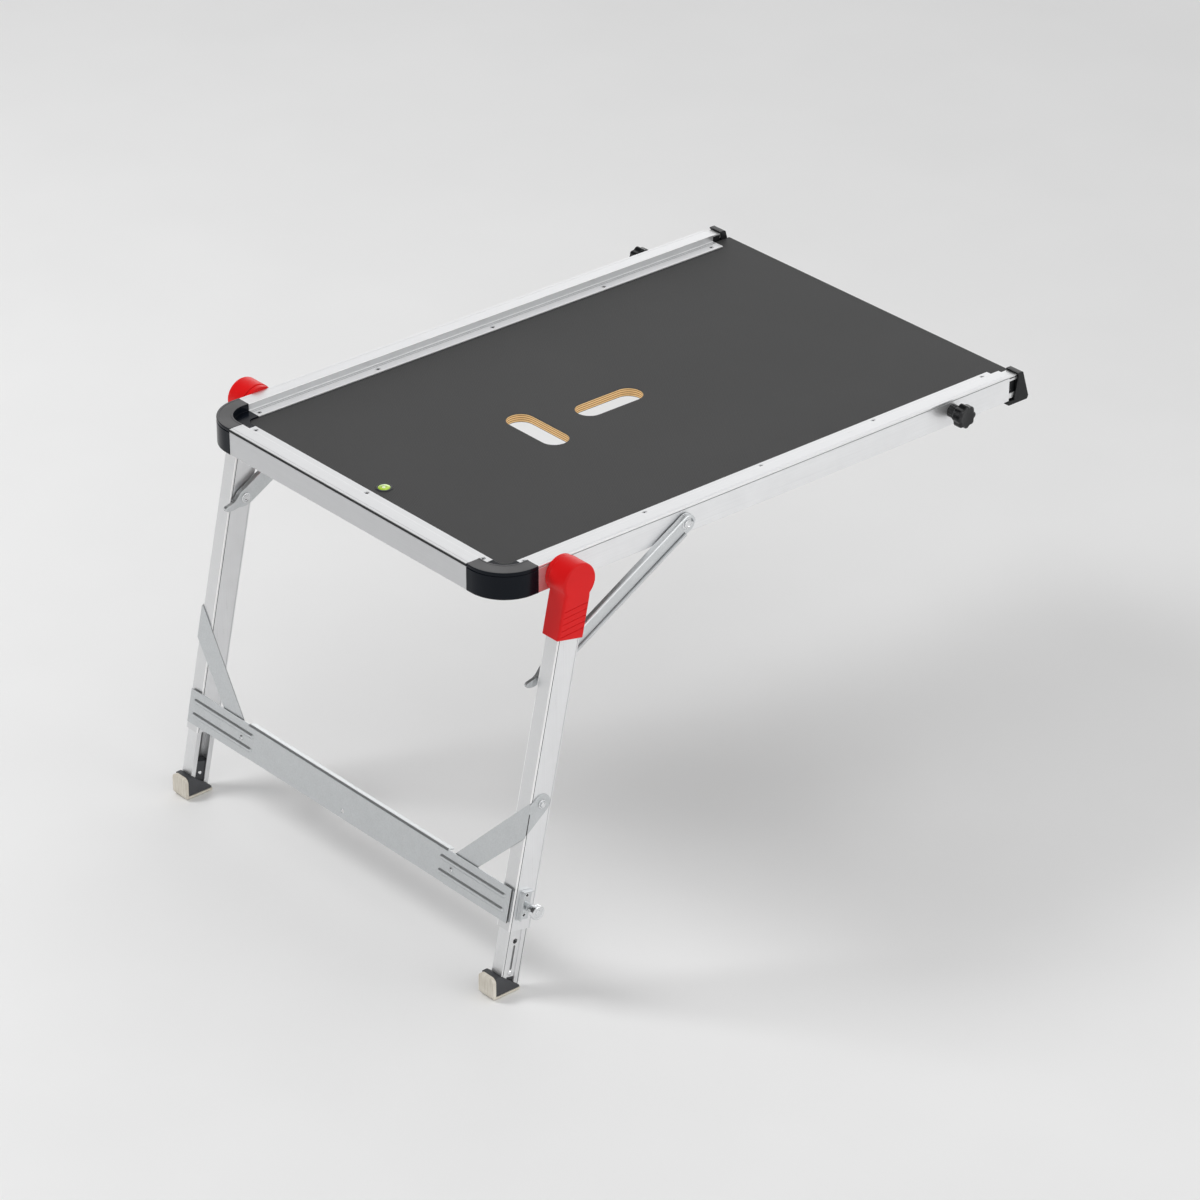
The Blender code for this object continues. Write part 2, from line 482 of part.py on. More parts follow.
for obj in bpy.data.objects:
    if obj.parent is None:
        obj.location = [at - middle * MM for at, middle in zip(obj.location, MIDDLE)]
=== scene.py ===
"""Folding stair work platform: the visual model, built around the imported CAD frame."""
import json
import math

import bmesh
import bpy
from mathutils import Matrix, Vector
from mathutils.geometry import tessellate_polygon


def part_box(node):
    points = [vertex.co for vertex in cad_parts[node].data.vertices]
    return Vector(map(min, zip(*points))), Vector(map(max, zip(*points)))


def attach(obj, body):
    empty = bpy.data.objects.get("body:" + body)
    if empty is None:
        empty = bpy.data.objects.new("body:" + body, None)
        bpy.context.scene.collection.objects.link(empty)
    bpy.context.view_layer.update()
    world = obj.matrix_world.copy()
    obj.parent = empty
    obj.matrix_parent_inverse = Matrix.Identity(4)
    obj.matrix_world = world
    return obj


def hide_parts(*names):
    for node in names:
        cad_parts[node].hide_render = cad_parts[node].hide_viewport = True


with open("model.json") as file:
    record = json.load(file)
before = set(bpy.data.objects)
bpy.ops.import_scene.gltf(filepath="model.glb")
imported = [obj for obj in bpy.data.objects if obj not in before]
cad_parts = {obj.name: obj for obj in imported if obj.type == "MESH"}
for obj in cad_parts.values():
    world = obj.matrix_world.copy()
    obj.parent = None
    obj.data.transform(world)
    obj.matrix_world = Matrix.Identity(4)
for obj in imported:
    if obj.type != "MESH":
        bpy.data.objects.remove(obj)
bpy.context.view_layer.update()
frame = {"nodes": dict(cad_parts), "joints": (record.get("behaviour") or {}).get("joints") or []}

MM = 0.001
WELD = 1e-6
FLAT = math.radians(0.6)
SIDES = (("left", -1.0), ("right", 1.0))
JOINTS = {joint["name"]: joint for joint in frame["joints"]}

# ---------------------------------------------------------------- frames of reference
# DECK: X across from the middle, Y to the rear, Z up, in millimetres.
RAIL_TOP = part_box("side_rail_right")[1].z
FRONT_LOW, FRONT_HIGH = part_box("front_rail")
ORIGIN = Vector(((FRONT_LOW.x + FRONT_HIGH.x) / 2, FRONT_LOW.y + 0.445, RAIL_TOP - 0.584))
DECK = Matrix.Translation(ORIGIN) @ Matrix.Scale(MM, 4)
# LEG: origin on the hinge, Z up along the leaning leg, Y to the rear.
HINGE = Vector(JOINTS["leg_fold"]["pos_m"])
DOWN = Vector(JOINTS["inner_leg_slide_right"]["axis"])
LEAN = math.atan2(-DOWN.y, -DOWN.z)
LEG = Matrix.Translation(HINGE) @ Matrix.Rotation(-LEAN, 4, "X") @ Matrix.Scale(MM, 4)


def strut_frame(side):
    """Origin on the leg rivet, Y along the strut to the rail pin, and the distance between them."""
    rivet = Vector(JOINTS[f"brace_fold_{side}"]["pos_m"])
    low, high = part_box(f"pivot_washer_{side}")
    run = (low + high) / 2 - rivet
    rivet.x = HINGE.x
    turn = Matrix.Rotation(math.atan2(run.z, run.y), 4, "X")
    return Matrix.Translation(rivet) @ turn @ Matrix.Scale(MM, 4), math.hypot(run.y, run.z) / MM


# ---------------------------------------------------------------- outlines and solids
def place(axis, u, v, w):
    """The point at (u, v) across an axis and w along it."""
    return {"X": (w, u, v), "Y": (u, w, v), "Z": (u, v, w)}[axis]


def rounded(corners, steps=4):
    """Outline through (u, v, radius) corners, each one turned in a short curve."""
    points = []
    for i, (u, v, r) in enumerate(corners):
        here = Vector((u, v))
        if r <= 0:
            points.append((u, v))
            continue
        before = Vector(corners[i - 1][:2]) - here
        after = Vector(corners[(i + 1) % len(corners)][:2]) - here
        a = here + before.normalized() * min(r, before.length * 0.49)
        b = here + after.normalized() * min(r, after.length * 0.49)
        for k in range(steps + 1):
            t = k / steps
            points.append(tuple((1 - t) ** 2 * a + 2 * t * (1 - t) * here + t * t * b))
    return points


def mirrored(outline, s):
    return [(s * u, v) for u, v in outline]


def circle(cu, cv, r, n=48, start=0.0, sweep=2 * math.pi):
    steps = n if sweep >= 2 * math.pi else n - 1
    return [(cu + r * math.cos(start + sweep * i / steps), cv + r * math.sin(start + sweep * i / steps))
            for i in range(n)]


def inset(outline, depth):
    """The same anticlockwise outline drawn in by a depth."""
    points = []
    for i, (u, v) in enumerate(outline):
        before, after = outline[i - 1], outline[(i + 1) % len(outline)]
        a = Vector((before[1] - v, u - before[0])).normalized()
        b = Vector((v - after[1], after[0] - u)).normalized()
        shift = (a + b) * depth / (1.0 + a.dot(b))
        points.append((u + shift.x, v + shift.y))
    return points


def stadium(cu, cv, length, width, axis, n=20):
    """Outline of a slot with round ends, lying along U or V."""
    r, half = width / 2, (length - width) / 2
    ends = circle(half, 0, r, n, -math.pi / 2, math.pi) + circle(-half, 0, r, n, math.pi / 2, math.pi)
    return [(cu + u, cv + v) if axis == "U" else (cu - v, cv + u) for u, v in ends]


def extrude(loops, axis, low, high, look=0):
    """Solid between two levels with a closed outline and any holes.

    A level is a number, or a function of the point for an end that is cut at an angle.
    """
    flat = [p for loop in loops for p in loop]
    caps = tessellate_polygon([[Vector((u, v, 0.0)) for u, v in loop] for loop in loops])
    verts = [place(axis, u, v, level(u, v) if callable(level) else level)
             for level in (low, high) for u, v in flat]
    n = len(flat)
    faces = [tuple(cap) for cap in caps] + [tuple(n + i for i in cap) for cap in caps]
    start = 0
    for loop in loops:
        m = len(loop)
        for i in range(m):
            a, b = start + i, start + (i + 1) % m
            faces.append((a, b, n + b, n + a))
        start += m
    return verts, faces, look


def skin(rings):
    """Solid through rings of points that all have the same number of corners."""
    n = len(rings[0])
    verts = [p for ring in rings for p in ring]
    last = (len(rings) - 1) * n
    faces = [tuple(cap) for cap in tessellate_polygon([[Vector(p) for p in rings[0]]])]
    faces += [tuple(last + i for i in cap) for cap in tessellate_polygon([[Vector(p) for p in rings[-1]]])]
    for k in range(len(rings) - 1):
        for i in range(n):
            j = (i + 1) % n
            faces.append((k * n + i, k * n + j, (k + 1) * n + j, (k + 1) * n + i))
    return verts, faces, 0


def lathe(profile, centre, axis="X", sign=1.0, n=48):
    """Solid of revolution from (along, radius[, lobes, depth]) points, on the axis at both ends."""
    cu, cv = centre
    verts = [place(axis, cu, cv, sign * profile[0][0])]
    for along, radius, *star in profile[1:-1]:
        for i in range(n):
            a = 2 * math.pi * i / n
            r = radius - (star[1] * (0.5 - 0.5 * math.cos(star[0] * a)) if star else 0.0)
            verts.append(place(axis, cu + r * math.cos(a), cv + r * math.sin(a), sign * along))
    verts.append(place(axis, cu, cv, sign * profile[-1][0]))
    last = len(verts) - 1
    faces = []
    for i in range(n):
        j = (i + 1) % n
        faces.append((0, 1 + i, 1 + j))
        for k in range(len(profile) - 3):
            faces.append((1 + k * n + i, 1 + k * n + j, 1 + (k + 1) * n + j, 1 + (k + 1) * n + i))
        faces.append((last, last - n + j, last - n + i))
    return verts, faces, 0


def block(x, y, z):
    """Box between two levels on each axis."""
    return extrude([[(x[0], y[0]), (x[1], y[0]), (x[1], y[1]), (x[0], y[1])]], "Z", *z)


# ---------------------------------------------------------------- pieces
def to_mesh(name, shapes, matrix):
    """One mesh from several solids, each with the number of its material."""
    work = bmesh.new()
    for verts, faces, look in shapes:
        made = [work.verts.new(matrix @ Vector(v)) for v in verts]
        for face in faces:
            work.faces.new([made[i] for i in face]).material_index = look
    bmesh.ops.recalc_face_normals(work, faces=work.faces)
    mesh = bpy.data.meshes.new(name)
    work.to_mesh(mesh)
    work.free()
    return mesh


def evaluated_copy(obj):
    """Replace the mesh of an object by what its modifiers make of it."""
    graph = bpy.context.evaluated_depsgraph_get()
    mesh = bpy.data.meshes.new_from_object(obj.evaluated_get(graph))
    obj.modifiers.clear()
    obj.data = mesh


def boolean(obj, shapes, matrix, operation="DIFFERENCE"):
    tool = bpy.data.objects.new("tool", to_mesh("tool", shapes, matrix))
    bpy.context.scene.collection.objects.link(tool)
    step = obj.modifiers.new("boolean", "BOOLEAN")
    step.operation, step.solver, step.object = operation, "EXACT", tool
    evaluated_copy(obj)
    bpy.data.objects.remove(tool)


def soften(obj, width, segments, angle):
    step = obj.modifiers.new("edges", "BEVEL")
    step.width, step.segments = width * MM, segments
    step.limit_method, step.angle_limit = "ANGLE", math.radians(angle)
    step.miter_outer = "MITER_ARC"
    evaluated_copy(obj)


def dress(obj, body, nodes, bevel, segments, angle, sharp):
    """Round the edges, smooth the shading, tie the piece to its body and hide its CAD nodes."""
    if bevel:
        soften(obj, bevel, segments, angle)
    mesh = obj.data
    mesh.polygons.foreach_set("use_smooth", [True] * len(mesh.polygons))
    mesh.set_sharp_from_angle(angle=math.radians(sharp))
    step = obj.modifiers.new("normals", "WEIGHTED_NORMAL")
    step.keep_sharp = True
    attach(obj, body)
    if nodes:
        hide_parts(*nodes)
    return obj


def piece(name, shapes, matrix, looks, body, nodes=(), cuts=(), joins=(), bevel=0.0,
          segments=2, angle=40, sharp=33):
    """A new visible piece from solids in a frame of reference, in millimetres."""
    obj = bpy.data.objects.new(name, to_mesh(name, shapes, matrix))
    bpy.context.scene.collection.objects.link(obj)
    for look in looks:
        obj.data.materials.append(look)
    for join in joins:
        boolean(obj, [join], matrix, "UNION")
    for cut in cuts:
        boolean(obj, [cut], matrix)
    return dress(obj, body, nodes, bevel, segments, angle, sharp)


def refined(name, node, looks, body, bevel=0.5, segments=2, angle=35, sharp=33, cuts=(),
            matrix=None):
    """The shape of a CAD node with welded points, larger flat faces and rounded edges."""
    work = bmesh.new()
    work.from_mesh(frame["nodes"][node].data)
    bmesh.ops.remove_doubles(work, verts=work.verts, dist=WELD)
    bmesh.ops.dissolve_limit(work, angle_limit=FLAT, verts=work.verts, edges=work.edges)
    bmesh.ops.recalc_face_normals(work, faces=work.faces)
    for face in work.faces:
        face.material_index = 0
    mesh = bpy.data.meshes.new(name)
    work.to_mesh(mesh)
    work.free()
    for look in looks:
        mesh.materials.append(look)
    obj = bpy.data.objects.new(name, mesh)
    bpy.context.scene.collection.objects.link(obj)
    for cut in cuts:
        boolean(obj, [cut], matrix)
    return dress(obj, body, [node], bevel, segments, angle, sharp)


def tint(obj, matrix, index, wanted):
    """Give another material to the faces whose middle and normal pass a test in a frame of reference."""
    back = matrix.inverted()
    turn = back.to_3x3().normalized()
    for face in obj.data.polygons:
        if wanted(back @ face.center, turn @ face.normal):
            face.material_index = index


# ---------------------------------------------------------------- materials
def shader_of(name, colour, metallic, roughness, **sockets):
    made = bpy.data.materials.new(name)
    made.use_nodes = True
    shader = made.node_tree.nodes["Principled BSDF"]
    shader.inputs["Base Color"].default_value = (*colour, 1.0)
    shader.inputs["Metallic"].default_value = metallic
    shader.inputs["Roughness"].default_value = roughness
    for socket, value in sockets.items():
        shader.inputs[socket.replace("_", " ")].default_value = value
    return made, made.node_tree, shader


def coordinates(tree, scale, turn=0.0):
    source = tree.nodes.new("ShaderNodeTexCoord")
    mapping = tree.nodes.new("ShaderNodeMapping")
    mapping.inputs["Rotation"].default_value = (turn, 0.0, 0.0)
    mapping.inputs["Scale"].default_value = scale
    tree.links.new(source.outputs["Object"], mapping.inputs["Vector"])
    return mapping.outputs["Vector"]


def noise(tree, scale, turn=0.0, detail=3.0, rough=0.55):
    made = tree.nodes.new("ShaderNodeTexNoise")
    made.inputs["Scale"].default_value = 1.0
    made.inputs["Detail"].default_value = detail
    made.inputs["Roughness"].default_value = rough
    tree.links.new(coordinates(tree, scale, turn), made.inputs["Vector"])
    return made.outputs["Fac"]


def ramp(tree, value, stops):
    made = tree.nodes.new("ShaderNodeValToRGB")
    ends = made.color_ramp.elements
    while len(ends) < len(stops):
        ends.new(0.5)
    for end, (at, colour) in zip(ends, stops):
        end.position = at
        end.color = (*colour, 1.0) if isinstance(colour, tuple) else (colour, colour, colour, 1.0)
    tree.links.new(value, made.inputs["Fac"])
    return made.outputs["Color"]


def remap(tree, value, low, high, source=(0.0, 1.0)):
    made = tree.nodes.new("ShaderNodeMapRange")
    for socket, number in (("From Min", source[0]), ("From Max", source[1]), ("To Min", low),
                           ("To Max", high)):
        made.inputs[socket].default_value = number
    tree.links.new(value, made.inputs["Value"])
    return made.outputs["Result"]


def blended(tree, factor, a, b, mode="MIX"):
    made = tree.nodes.new("ShaderNodeMix")
    made.data_type, made.blend_type = "RGBA", mode
    for socket, given in ((made.inputs[0], factor), (made.inputs[6], a), (made.inputs[7], b)):
        if isinstance(given, bpy.types.NodeSocket):
            tree.links.new(given, socket)
        elif isinstance(given, tuple):
            socket.default_value = (*given, 1.0)
        else:
            socket.default_value = given
    return made.outputs[2]


def math_node(tree, operation, a, b=None):
    made = tree.nodes.new("ShaderNodeMath")
    made.operation = operation
    for socket, given in zip(made.inputs, (a, b)):
        if isinstance(given, bpy.types.NodeSocket):
            tree.links.new(given, socket)
        elif given is not None:
            socket.default_value = given
    return made.outputs[0]


def bumped(tree, shader, height, distance, strength=1.0, after=None):
    made = tree.nodes.new("ShaderNodeBump")
    made.inputs["Strength"].default_value = strength
    made.inputs["Distance"].default_value = distance
    tree.links.new(height, made.inputs["Height"])
    if after is not None:
        tree.links.new(after, made.inputs["Normal"])
    tree.links.new(made.outputs["Normal"], shader.inputs["Normal"])
    return made.outputs["Normal"]


def scaled(colour, factor):
    return tuple(min(1.0, c * factor) for c in colour)


def metal(name, colour, roughness, grain, turn=0.0, metallic=0.85, spread=0.05, cloud=30.0, lines=0.00002):
    """Satin metal with fine drawing lines along the grain and faint large-scale clouding."""
    made, tree, shader = shader_of(name, colour, metallic, roughness)
    fine = noise(tree, grain, turn, 4.0, 0.6)
    clouds = noise(tree, (cloud, cloud, cloud), 0.0, 3.0)
    tone = blended(tree, 0.35, fine, clouds)
    tree.links.new(ramp(tree, tone, ((0.3, scaled(colour, 1 - spread)), (0.7, scaled(colour, 1 + spread)))),
                   shader.inputs["Base Color"])
    tree.links.new(remap(tree, tone, roughness - 0.07, roughness + 0.07, (0.3, 0.7)),
                   shader.inputs["Roughness"])
    bumped(tree, shader, fine, lines)
    return made


def plastic(name, colour, roughness, texture, depth, spread=0.12, turn=0.0, **sockets):
    """Moulded plastic or rubber with a fine spark-eroded texture."""
    made, tree, shader = shader_of(name, colour, 0.0, roughness, **sockets)
    fine = noise(tree, texture, turn, 3.0, 0.6)
    clouds = noise(tree, (22.0, 22.0, 22.0), 0.0, 3.0)
    tone = blended(tree, 0.5, fine, clouds)
    tree.links.new(ramp(tree, tone, ((0.3, scaled(colour, 1 - spread)), (0.7, scaled(colour, 1 + spread)))),
                   shader.inputs["Base Color"])
    tree.links.new(remap(tree, fine, roughness - 0.05, roughness + 0.08, (0.3, 0.7)),
                   shader.inputs["Roughness"])
    bumped(tree, shader, fine, depth)
    return made


ALONG_Y, ALONG_X, ALONG_Z = (1500, 9, 1500), (9, 1500, 1500), (1500, 1500, 9)
ALU_SIDE = metal("aluminium_side_rail", (0.80, 0.805, 0.815), 0.34, ALONG_Y)
# Lit copy of the rail metal: painted light on the rails' outer walls.
ALU_WALL_LIT = metal("aluminium_rail_wall_painted_light", (0.88, 0.885, 0.895), 0.36, ALONG_Y)
# Shaded copy of the rail metal: painted shade on the inner walls above the deck ledge.
ALU_INSIDE_SHADE = metal("aluminium_rail_inside_painted_shade", (0.60, 0.605, 0.61), 0.40, ALONG_Y)
ALU_TOP = metal("aluminium_front_rail_top", (0.78, 0.785, 0.795), 0.34, ALONG_X)
# Shaded copy of the front rail's metal: painted shade on its front faces.
ALU_FRONT_SHADE = metal("aluminium_front_face_painted_shade", (0.57, 0.575, 0.585), 0.36, ALONG_X)
# The legs' metal as a lit and a shaded copy: painted light on the side faces, painted shade on the front
# faces.
ALU_LEG = metal("aluminium_leg", (0.87, 0.875, 0.885), 0.33, ALONG_Z, LEAN)
ALU_LEG_FRONT_SHADE = metal("aluminium_leg_front_painted_shade", (0.74, 0.745, 0.75), 0.34, ALONG_Z, LEAN)
ALU_INNER = metal("aluminium_inner_leg", (0.82, 0.825, 0.83), 0.36, ALONG_Z, LEAN)
ALU_TUBE = metal("aluminium_support_tube", (0.80, 0.805, 0.81), 0.36, ALONG_Y)
ZINC = metal("zinc_sheet", (0.62, 0.64, 0.65), 0.38, (420, 420, 420), 0.0, 0.85, 0.09, 60.0, 0.00003)
ZINC_STRUT = metal("zinc_strut", (0.68, 0.70, 0.71), 0.33, (420, 420, 420), 0.0, 0.9, 0.08, 60.0, 0.00003)
CHROME = metal("bright_zinc", (0.80, 0.81, 0.82), 0.20, (900, 900, 900), 0.0, 1.0, 0.06, 80.0, 0.00002)
# Painted shade in the screws' cross recesses.
RECESS_SHADE = plastic("screw_recess_painted_shade", (0.012, 0.012, 0.013), 0.6, (900, 900, 900), 0.00002)
CAP_GLOSS = plastic("black_cap_side", (0.004, 0.006, 0.010), 0.20, (1400, 1400, 1400), 0.000006,
                    Specular_IOR_Level=0.14)
# Rough top of the corner caps; its lighter colour than the glossy black sides is painted light.
CAP_TOP_ROUGH_LIT = plastic("black_cap_top_rough_painted_light", (0.10, 0.10, 0.102), 0.62, (1100, 1100, 1100), 0.00009, 0.3)
KNOB = plastic("black_knob", (0.006, 0.0065, 0.0075), 0.30, (1000, 1000, 1000), 0.00005, 0.3,
               Specular_IOR_Level=0.45)
BLACK = plastic("black_plastic", (0.009, 0.0095, 0.0105), 0.38, (1000, 1000, 1000), 0.00007, 0.3,
                Specular_IOR_Level=0.28)
# Black plastic: the front rail's real strip, and the painted shade strip in the support tubes' groove.
STRIP_AND_GAP_SHADE = plastic("black_strip", (0.012, 0.012, 0.013), 0.6, (1200, 1200, 1200), 0.00004)
RED = plastic("red_plastic", (0.70, 0.009, 0.010), 0.40, (1200, 1200, 1200), 0.00003, 0.05,
              Specular_IOR_Level=0.20)
# Painted highlight on the rounded edges of the rails and legs.
EDGE_HIGHLIGHT = metal("aluminium_painted_edge_highlight", (0.97, 0.97, 0.97), 0.42, ALONG_Z, LEAN, 0.3, 0.02)
# Painted shade in the grooves, slots and trough walls of the legs and struts.
GROOVE_SHADE = metal("aluminium_groove_painted_shade", (0.30, 0.305, 0.31), 0.5, ALONG_Z, LEAN, 0.5, 0.08)
# Painted shade in the rails' fine grooves.
RAIL_GROOVE_SHADE = metal("aluminium_rail_groove_painted_shade", (0.46, 0.465, 0.47), 0.45, ALONG_Y, 0.0, 0.6, 0.08)
# Painted shadow in gaps: the gusset fold, the crossbar's end faces and the plunger shaft.
SHADOW = metal("painted_gap_shadow", (0.045, 0.046, 0.048), 0.6, (420, 420, 420), 0.0, 0.2, 0.2)
GREY = plastic("grey_plastic", (0.045, 0.047, 0.052), 0.48, (1100, 1100, 1100), 0.00006, 0.2)


def sole_material():
    made, tree, shader = shader_of("beige_rubber", (0.70, 0.66, 0.58), 0.0, 0.72)
    streaks = noise(tree, (520, 60, 40), 0.0, 3.0)
    clouds = noise(tree, (60, 60, 60), 0.0, 2.0)
    tone = blended(tree, 0.35, streaks, clouds)
    tree.links.new(ramp(tree, tone, ((0.3, (0.56, 0.51, 0.43)), (0.55, (0.70, 0.66, 0.58)),
                                     (0.75, (0.78, 0.75, 0.68)))), shader.inputs["Base Color"])
    tree.links.new(remap(tree, clouds, 0.64, 0.80), shader.inputs["Roughness"])
    bumped(tree, shader, streaks, 0.0003)
    return made


def film_material():
    """Dark phenolic film with a pressed wire-mesh pattern, slightly worn in places."""
    made, tree, shader = shader_of("anti_slip_film", (0.045, 0.045, 0.046), 0.0, 0.6,
                                   Specular_IOR_Level=0.38)
    cells = tree.nodes.new("ShaderNodeTexVoronoi")
    cells.voronoi_dimensions = "2D"
    cells.inputs["Scale"].default_value = 1.0
    cells.inputs["Randomness"].default_value = 0.0
    tree.links.new(coordinates(tree, (400, 400, 400)), cells.inputs["Vector"])
    dots = remap(tree, cells.outputs["Distance"], 1.0, 0.0, (0.18, 0.52))
    fine = noise(tree, (1800, 1800, 1800), 0.0, 2.0)
    clouds = noise(tree, (4, 4, 4), 0.0, 4.0)
    base = ramp(tree, dots, ((0.1, (0.036, 0.036, 0.036)), (0.9, (0.053, 0.053, 0.054))))
    shade = ramp(tree, clouds, ((0.25, 0.86), (0.75, 1.0)))
    tree.links.new(blended(tree, 1.0, base, shade, "MULTIPLY"), shader.inputs["Base Color"])
    tree.links.new(remap(tree, dots, 0.70, 0.52), shader.inputs["Roughness"])
    first = bumped(tree, shader, fine, 0.00006, 0.6)
    bumped(tree, shader, dots, 0.00012, 0.8, first)
    return made


def plywood_material():
    """Sawn plywood edge: plies stacked along Z, with end grain and long grain by turns."""
    made, tree, shader = shader_of("plywood_edge", (0.80, 0.50, 0.22), 0.0, 0.55)
    source = tree.nodes.new("ShaderNodeTexCoord")
    split = tree.nodes.new("ShaderNodeSeparateXYZ")
    tree.links.new(source.outputs["Object"], split.inputs["Vector"])
    wander = noise(tree, (16, 16, 4), 0.0, 3.0)
    height = math_node(tree, "ADD", split.outputs["Z"], math_node(tree, "MULTIPLY", wander, 0.0005))
    layer = math_node(tree, "FRACT", math_node(tree, "DIVIDE", height, 0.0031))
    plies = ramp(tree, layer, ((0.0, (0.33, 0.15, 0.042)), (0.30, (0.40, 0.19, 0.058)),
                               (0.40, (0.93, 0.64, 0.30)), (0.72, (0.97, 0.71, 0.37)),
                               (0.82, (0.88, 0.57, 0.25)), (0.98, (0.84, 0.52, 0.21))))
    fibres = noise(tree, (240, 240, 1400), 0.0, 4.0)
    tree.links.new(blended(tree, 1.0, plies, ramp(tree, fibres, ((0.3, 0.93), (0.7, 1.0))), "MULTIPLY"),
                   shader.inputs["Base Color"])
    tree.links.new(remap(tree, fibres, 0.48, 0.68), shader.inputs["Roughness"])
    bumped(tree, shader, fibres, 0.00012)
    return made


def veneer_material():
    """Dark phenolic face on the underside of the deck."""
    made, tree, shader = shader_of("deck_underside", (0.050, 0.046, 0.042), 0.0, 0.45)
    fibres = noise(tree, (90, 6, 90), 0.0, 5.0, 0.65)
    tree.links.new(ramp(tree, fibres, ((0.3, (0.040, 0.036, 0.033)), (0.7, (0.062, 0.058, 0.053)))),
                   shader.inputs["Base Color"])
    tree.links.new(remap(tree, fibres, 0.38, 0.55), shader.inputs["Roughness"])
    bumped(tree, shader, fibres, 0.00008)
    return made


def fluid_material():
    made, tree, shader = shader_of("level_fluid", (0.45, 0.66, 0.03), 0.0, 0.12, Coat_Weight=1.0,
                                   Coat_Roughness=0.04)
    clouds = noise(tree, (160, 160, 160), 0.0, 2.0)
    tree.links.new(ramp(tree, clouds, ((0.35, (0.26, 0.46, 0.012)), (0.65, (0.58, 0.80, 0.06)))),
                   shader.inputs["Base Color"])
    tree.links.new(remap(tree, clouds, 0.08, 0.18), shader.inputs["Roughness"])
    return made


SOLE, FILM, PLY, VENEER, FLUID = (sole_material(), film_material(), plywood_material(),
                                  veneer_material(), fluid_material())
BUBBLE = plastic("level_bubble", (0.86, 0.92, 0.62), 0.15, (300, 300, 300), 0.00001, 0.04)

# ---------------------------------------------------------------- deck
bend_x, bend_y, deck_r, deck_end = 254.5, -390.0, 32.7, 478.0
deck_outline = (circle(bend_x, bend_y, deck_r, 17, -math.pi / 2, math.pi / 2)
                + [(bend_x + deck_r, deck_end), (-bend_x - deck_r, deck_end)]
                + circle(-bend_x, bend_y, deck_r, 17, math.pi, math.pi / 2))
slot_length, slot_width = 108.5, 40
slots = [stadium(0, -121.6, slot_length, slot_width, "U"), stadium(0, 3.4, slot_length, slot_width, "V")]
level_at = (0.0, -380.5)
piece("deck_board", [extrude([deck_outline, *slots], "Z", 560.0, 571.0),
                     extrude([deck_outline, *slots], "Z", 559.4, 559.95, 1)], DECK, [PLY, VENEER],
      "deck_frame", ["deck_panel"],
      cuts=[lathe([(563, 0), (563, 9.4), (590, 9.4), (590, 0)], level_at, "Z")])
piece("deck_film", [extrude([deck_outline, *slots, circle(*level_at, 11.3)], "Z", 571.05, 572.0)], DECK,
      [FILM], "deck_frame", ["deck_coating"])
piece("level_ring", [lathe([(563.6, 0), (563.6, 9), (571.3, 9), (571.3, 11.0), (572.6, 11.0), (573.1, 10.6),
                            (573.3, 10.0), (573.2, 9.0), (572.5, 8.4), (572.5, 0)], level_at, "Z")], DECK,
      [GREY], "deck_frame", ["level_housing"])
dome = [(572.55, 0), (572.55, 8.3)] + [(572.7 + 1.9 * math.sin(a), 8.3 * math.cos(a))
                                       for a in (0.1, 0.35, 0.6, 0.85, 1.1, 1.3, 1.45)] + [(574.6, 0)]
bubble_at = (1.8, -382.6)
piece("level_dome", [lathe(dome, level_at, "Z")], DECK, [FLUID], "deck_frame",
      ["level_vial"])
piece("level_bubble_cap", [lathe([(574.0, 0), (574.0, 2.4), (574.5, 2.2), (574.75, 1.4), (574.85, 0)],
                                 bubble_at, "Z", n=24)], DECK, [BUBBLE], "deck_frame")

# ---------------------------------------------------------------- deck frame
# The rails' outer and inner walls on X, and their top, underside and deck ledge on Z.
OUT, TOP, LOW, LEDGE, INNER = 309.5, 584.0, 546.0, 574.3, 287.5
SCREW_X, FRONT_SCREW_Y, SCREW_SEAT, SCREW_R = 273.8, -409.0, 572.4, 3.3
HINGE_YZ, STRUT_PIN_YZ = (-345.5, 564.0), (-138.5, 564.0)


def groove(u, v, width, depth, along):
    """Four corners of a fine groove, cut into a face that runs along u or v."""
    e = 0.06
    if along == "U":
        return [(u, v, e), (u + math.copysign(e, width), v - depth, e),
                (u + width - math.copysign(e, width), v - depth, e), (u + width, v, e)]
    return [(u, v, e), (u - depth, v + math.copysign(e, width), e),
            (u - depth, v + width - math.copysign(e, width), e), (u, v + width, e)]


def rail_section(slot_low, slot_high, slot_depth):
    """Outline of the right rail with a slot of the given levels in its outer wall."""
    points = [(INNER, LOW, 0.8), (OUT, LOW, 1.0), (OUT, slot_low, 0.2), (OUT - slot_depth, slot_low, 0.1),
              (OUT - slot_depth, slot_high, 0.1), (OUT, slot_high, 0.2), (OUT, TOP, 0.8)]
    points += groove(305.6, TOP, -0.5, 0.35, "U")
    points += [(INNER, TOP, 0.7), (INNER, LEDGE, 0.8)]
    for u in (284.6, 281.4):
        points += groove(u, LEDGE, -0.9, 0.7, "U")
    points += [(INNER - 21.5, LEDGE, 0.5), (INNER - 21.5, LEDGE - 2, 0.3), (INNER, LEDGE - 2, 0.3),
               (INNER, 559.1, 0.3), (INNER - 10, 559.1, 0.4), (INNER - 10, 557.1, 0.4), (INNER, 557.1, 0.3)]
    return rounded(points)


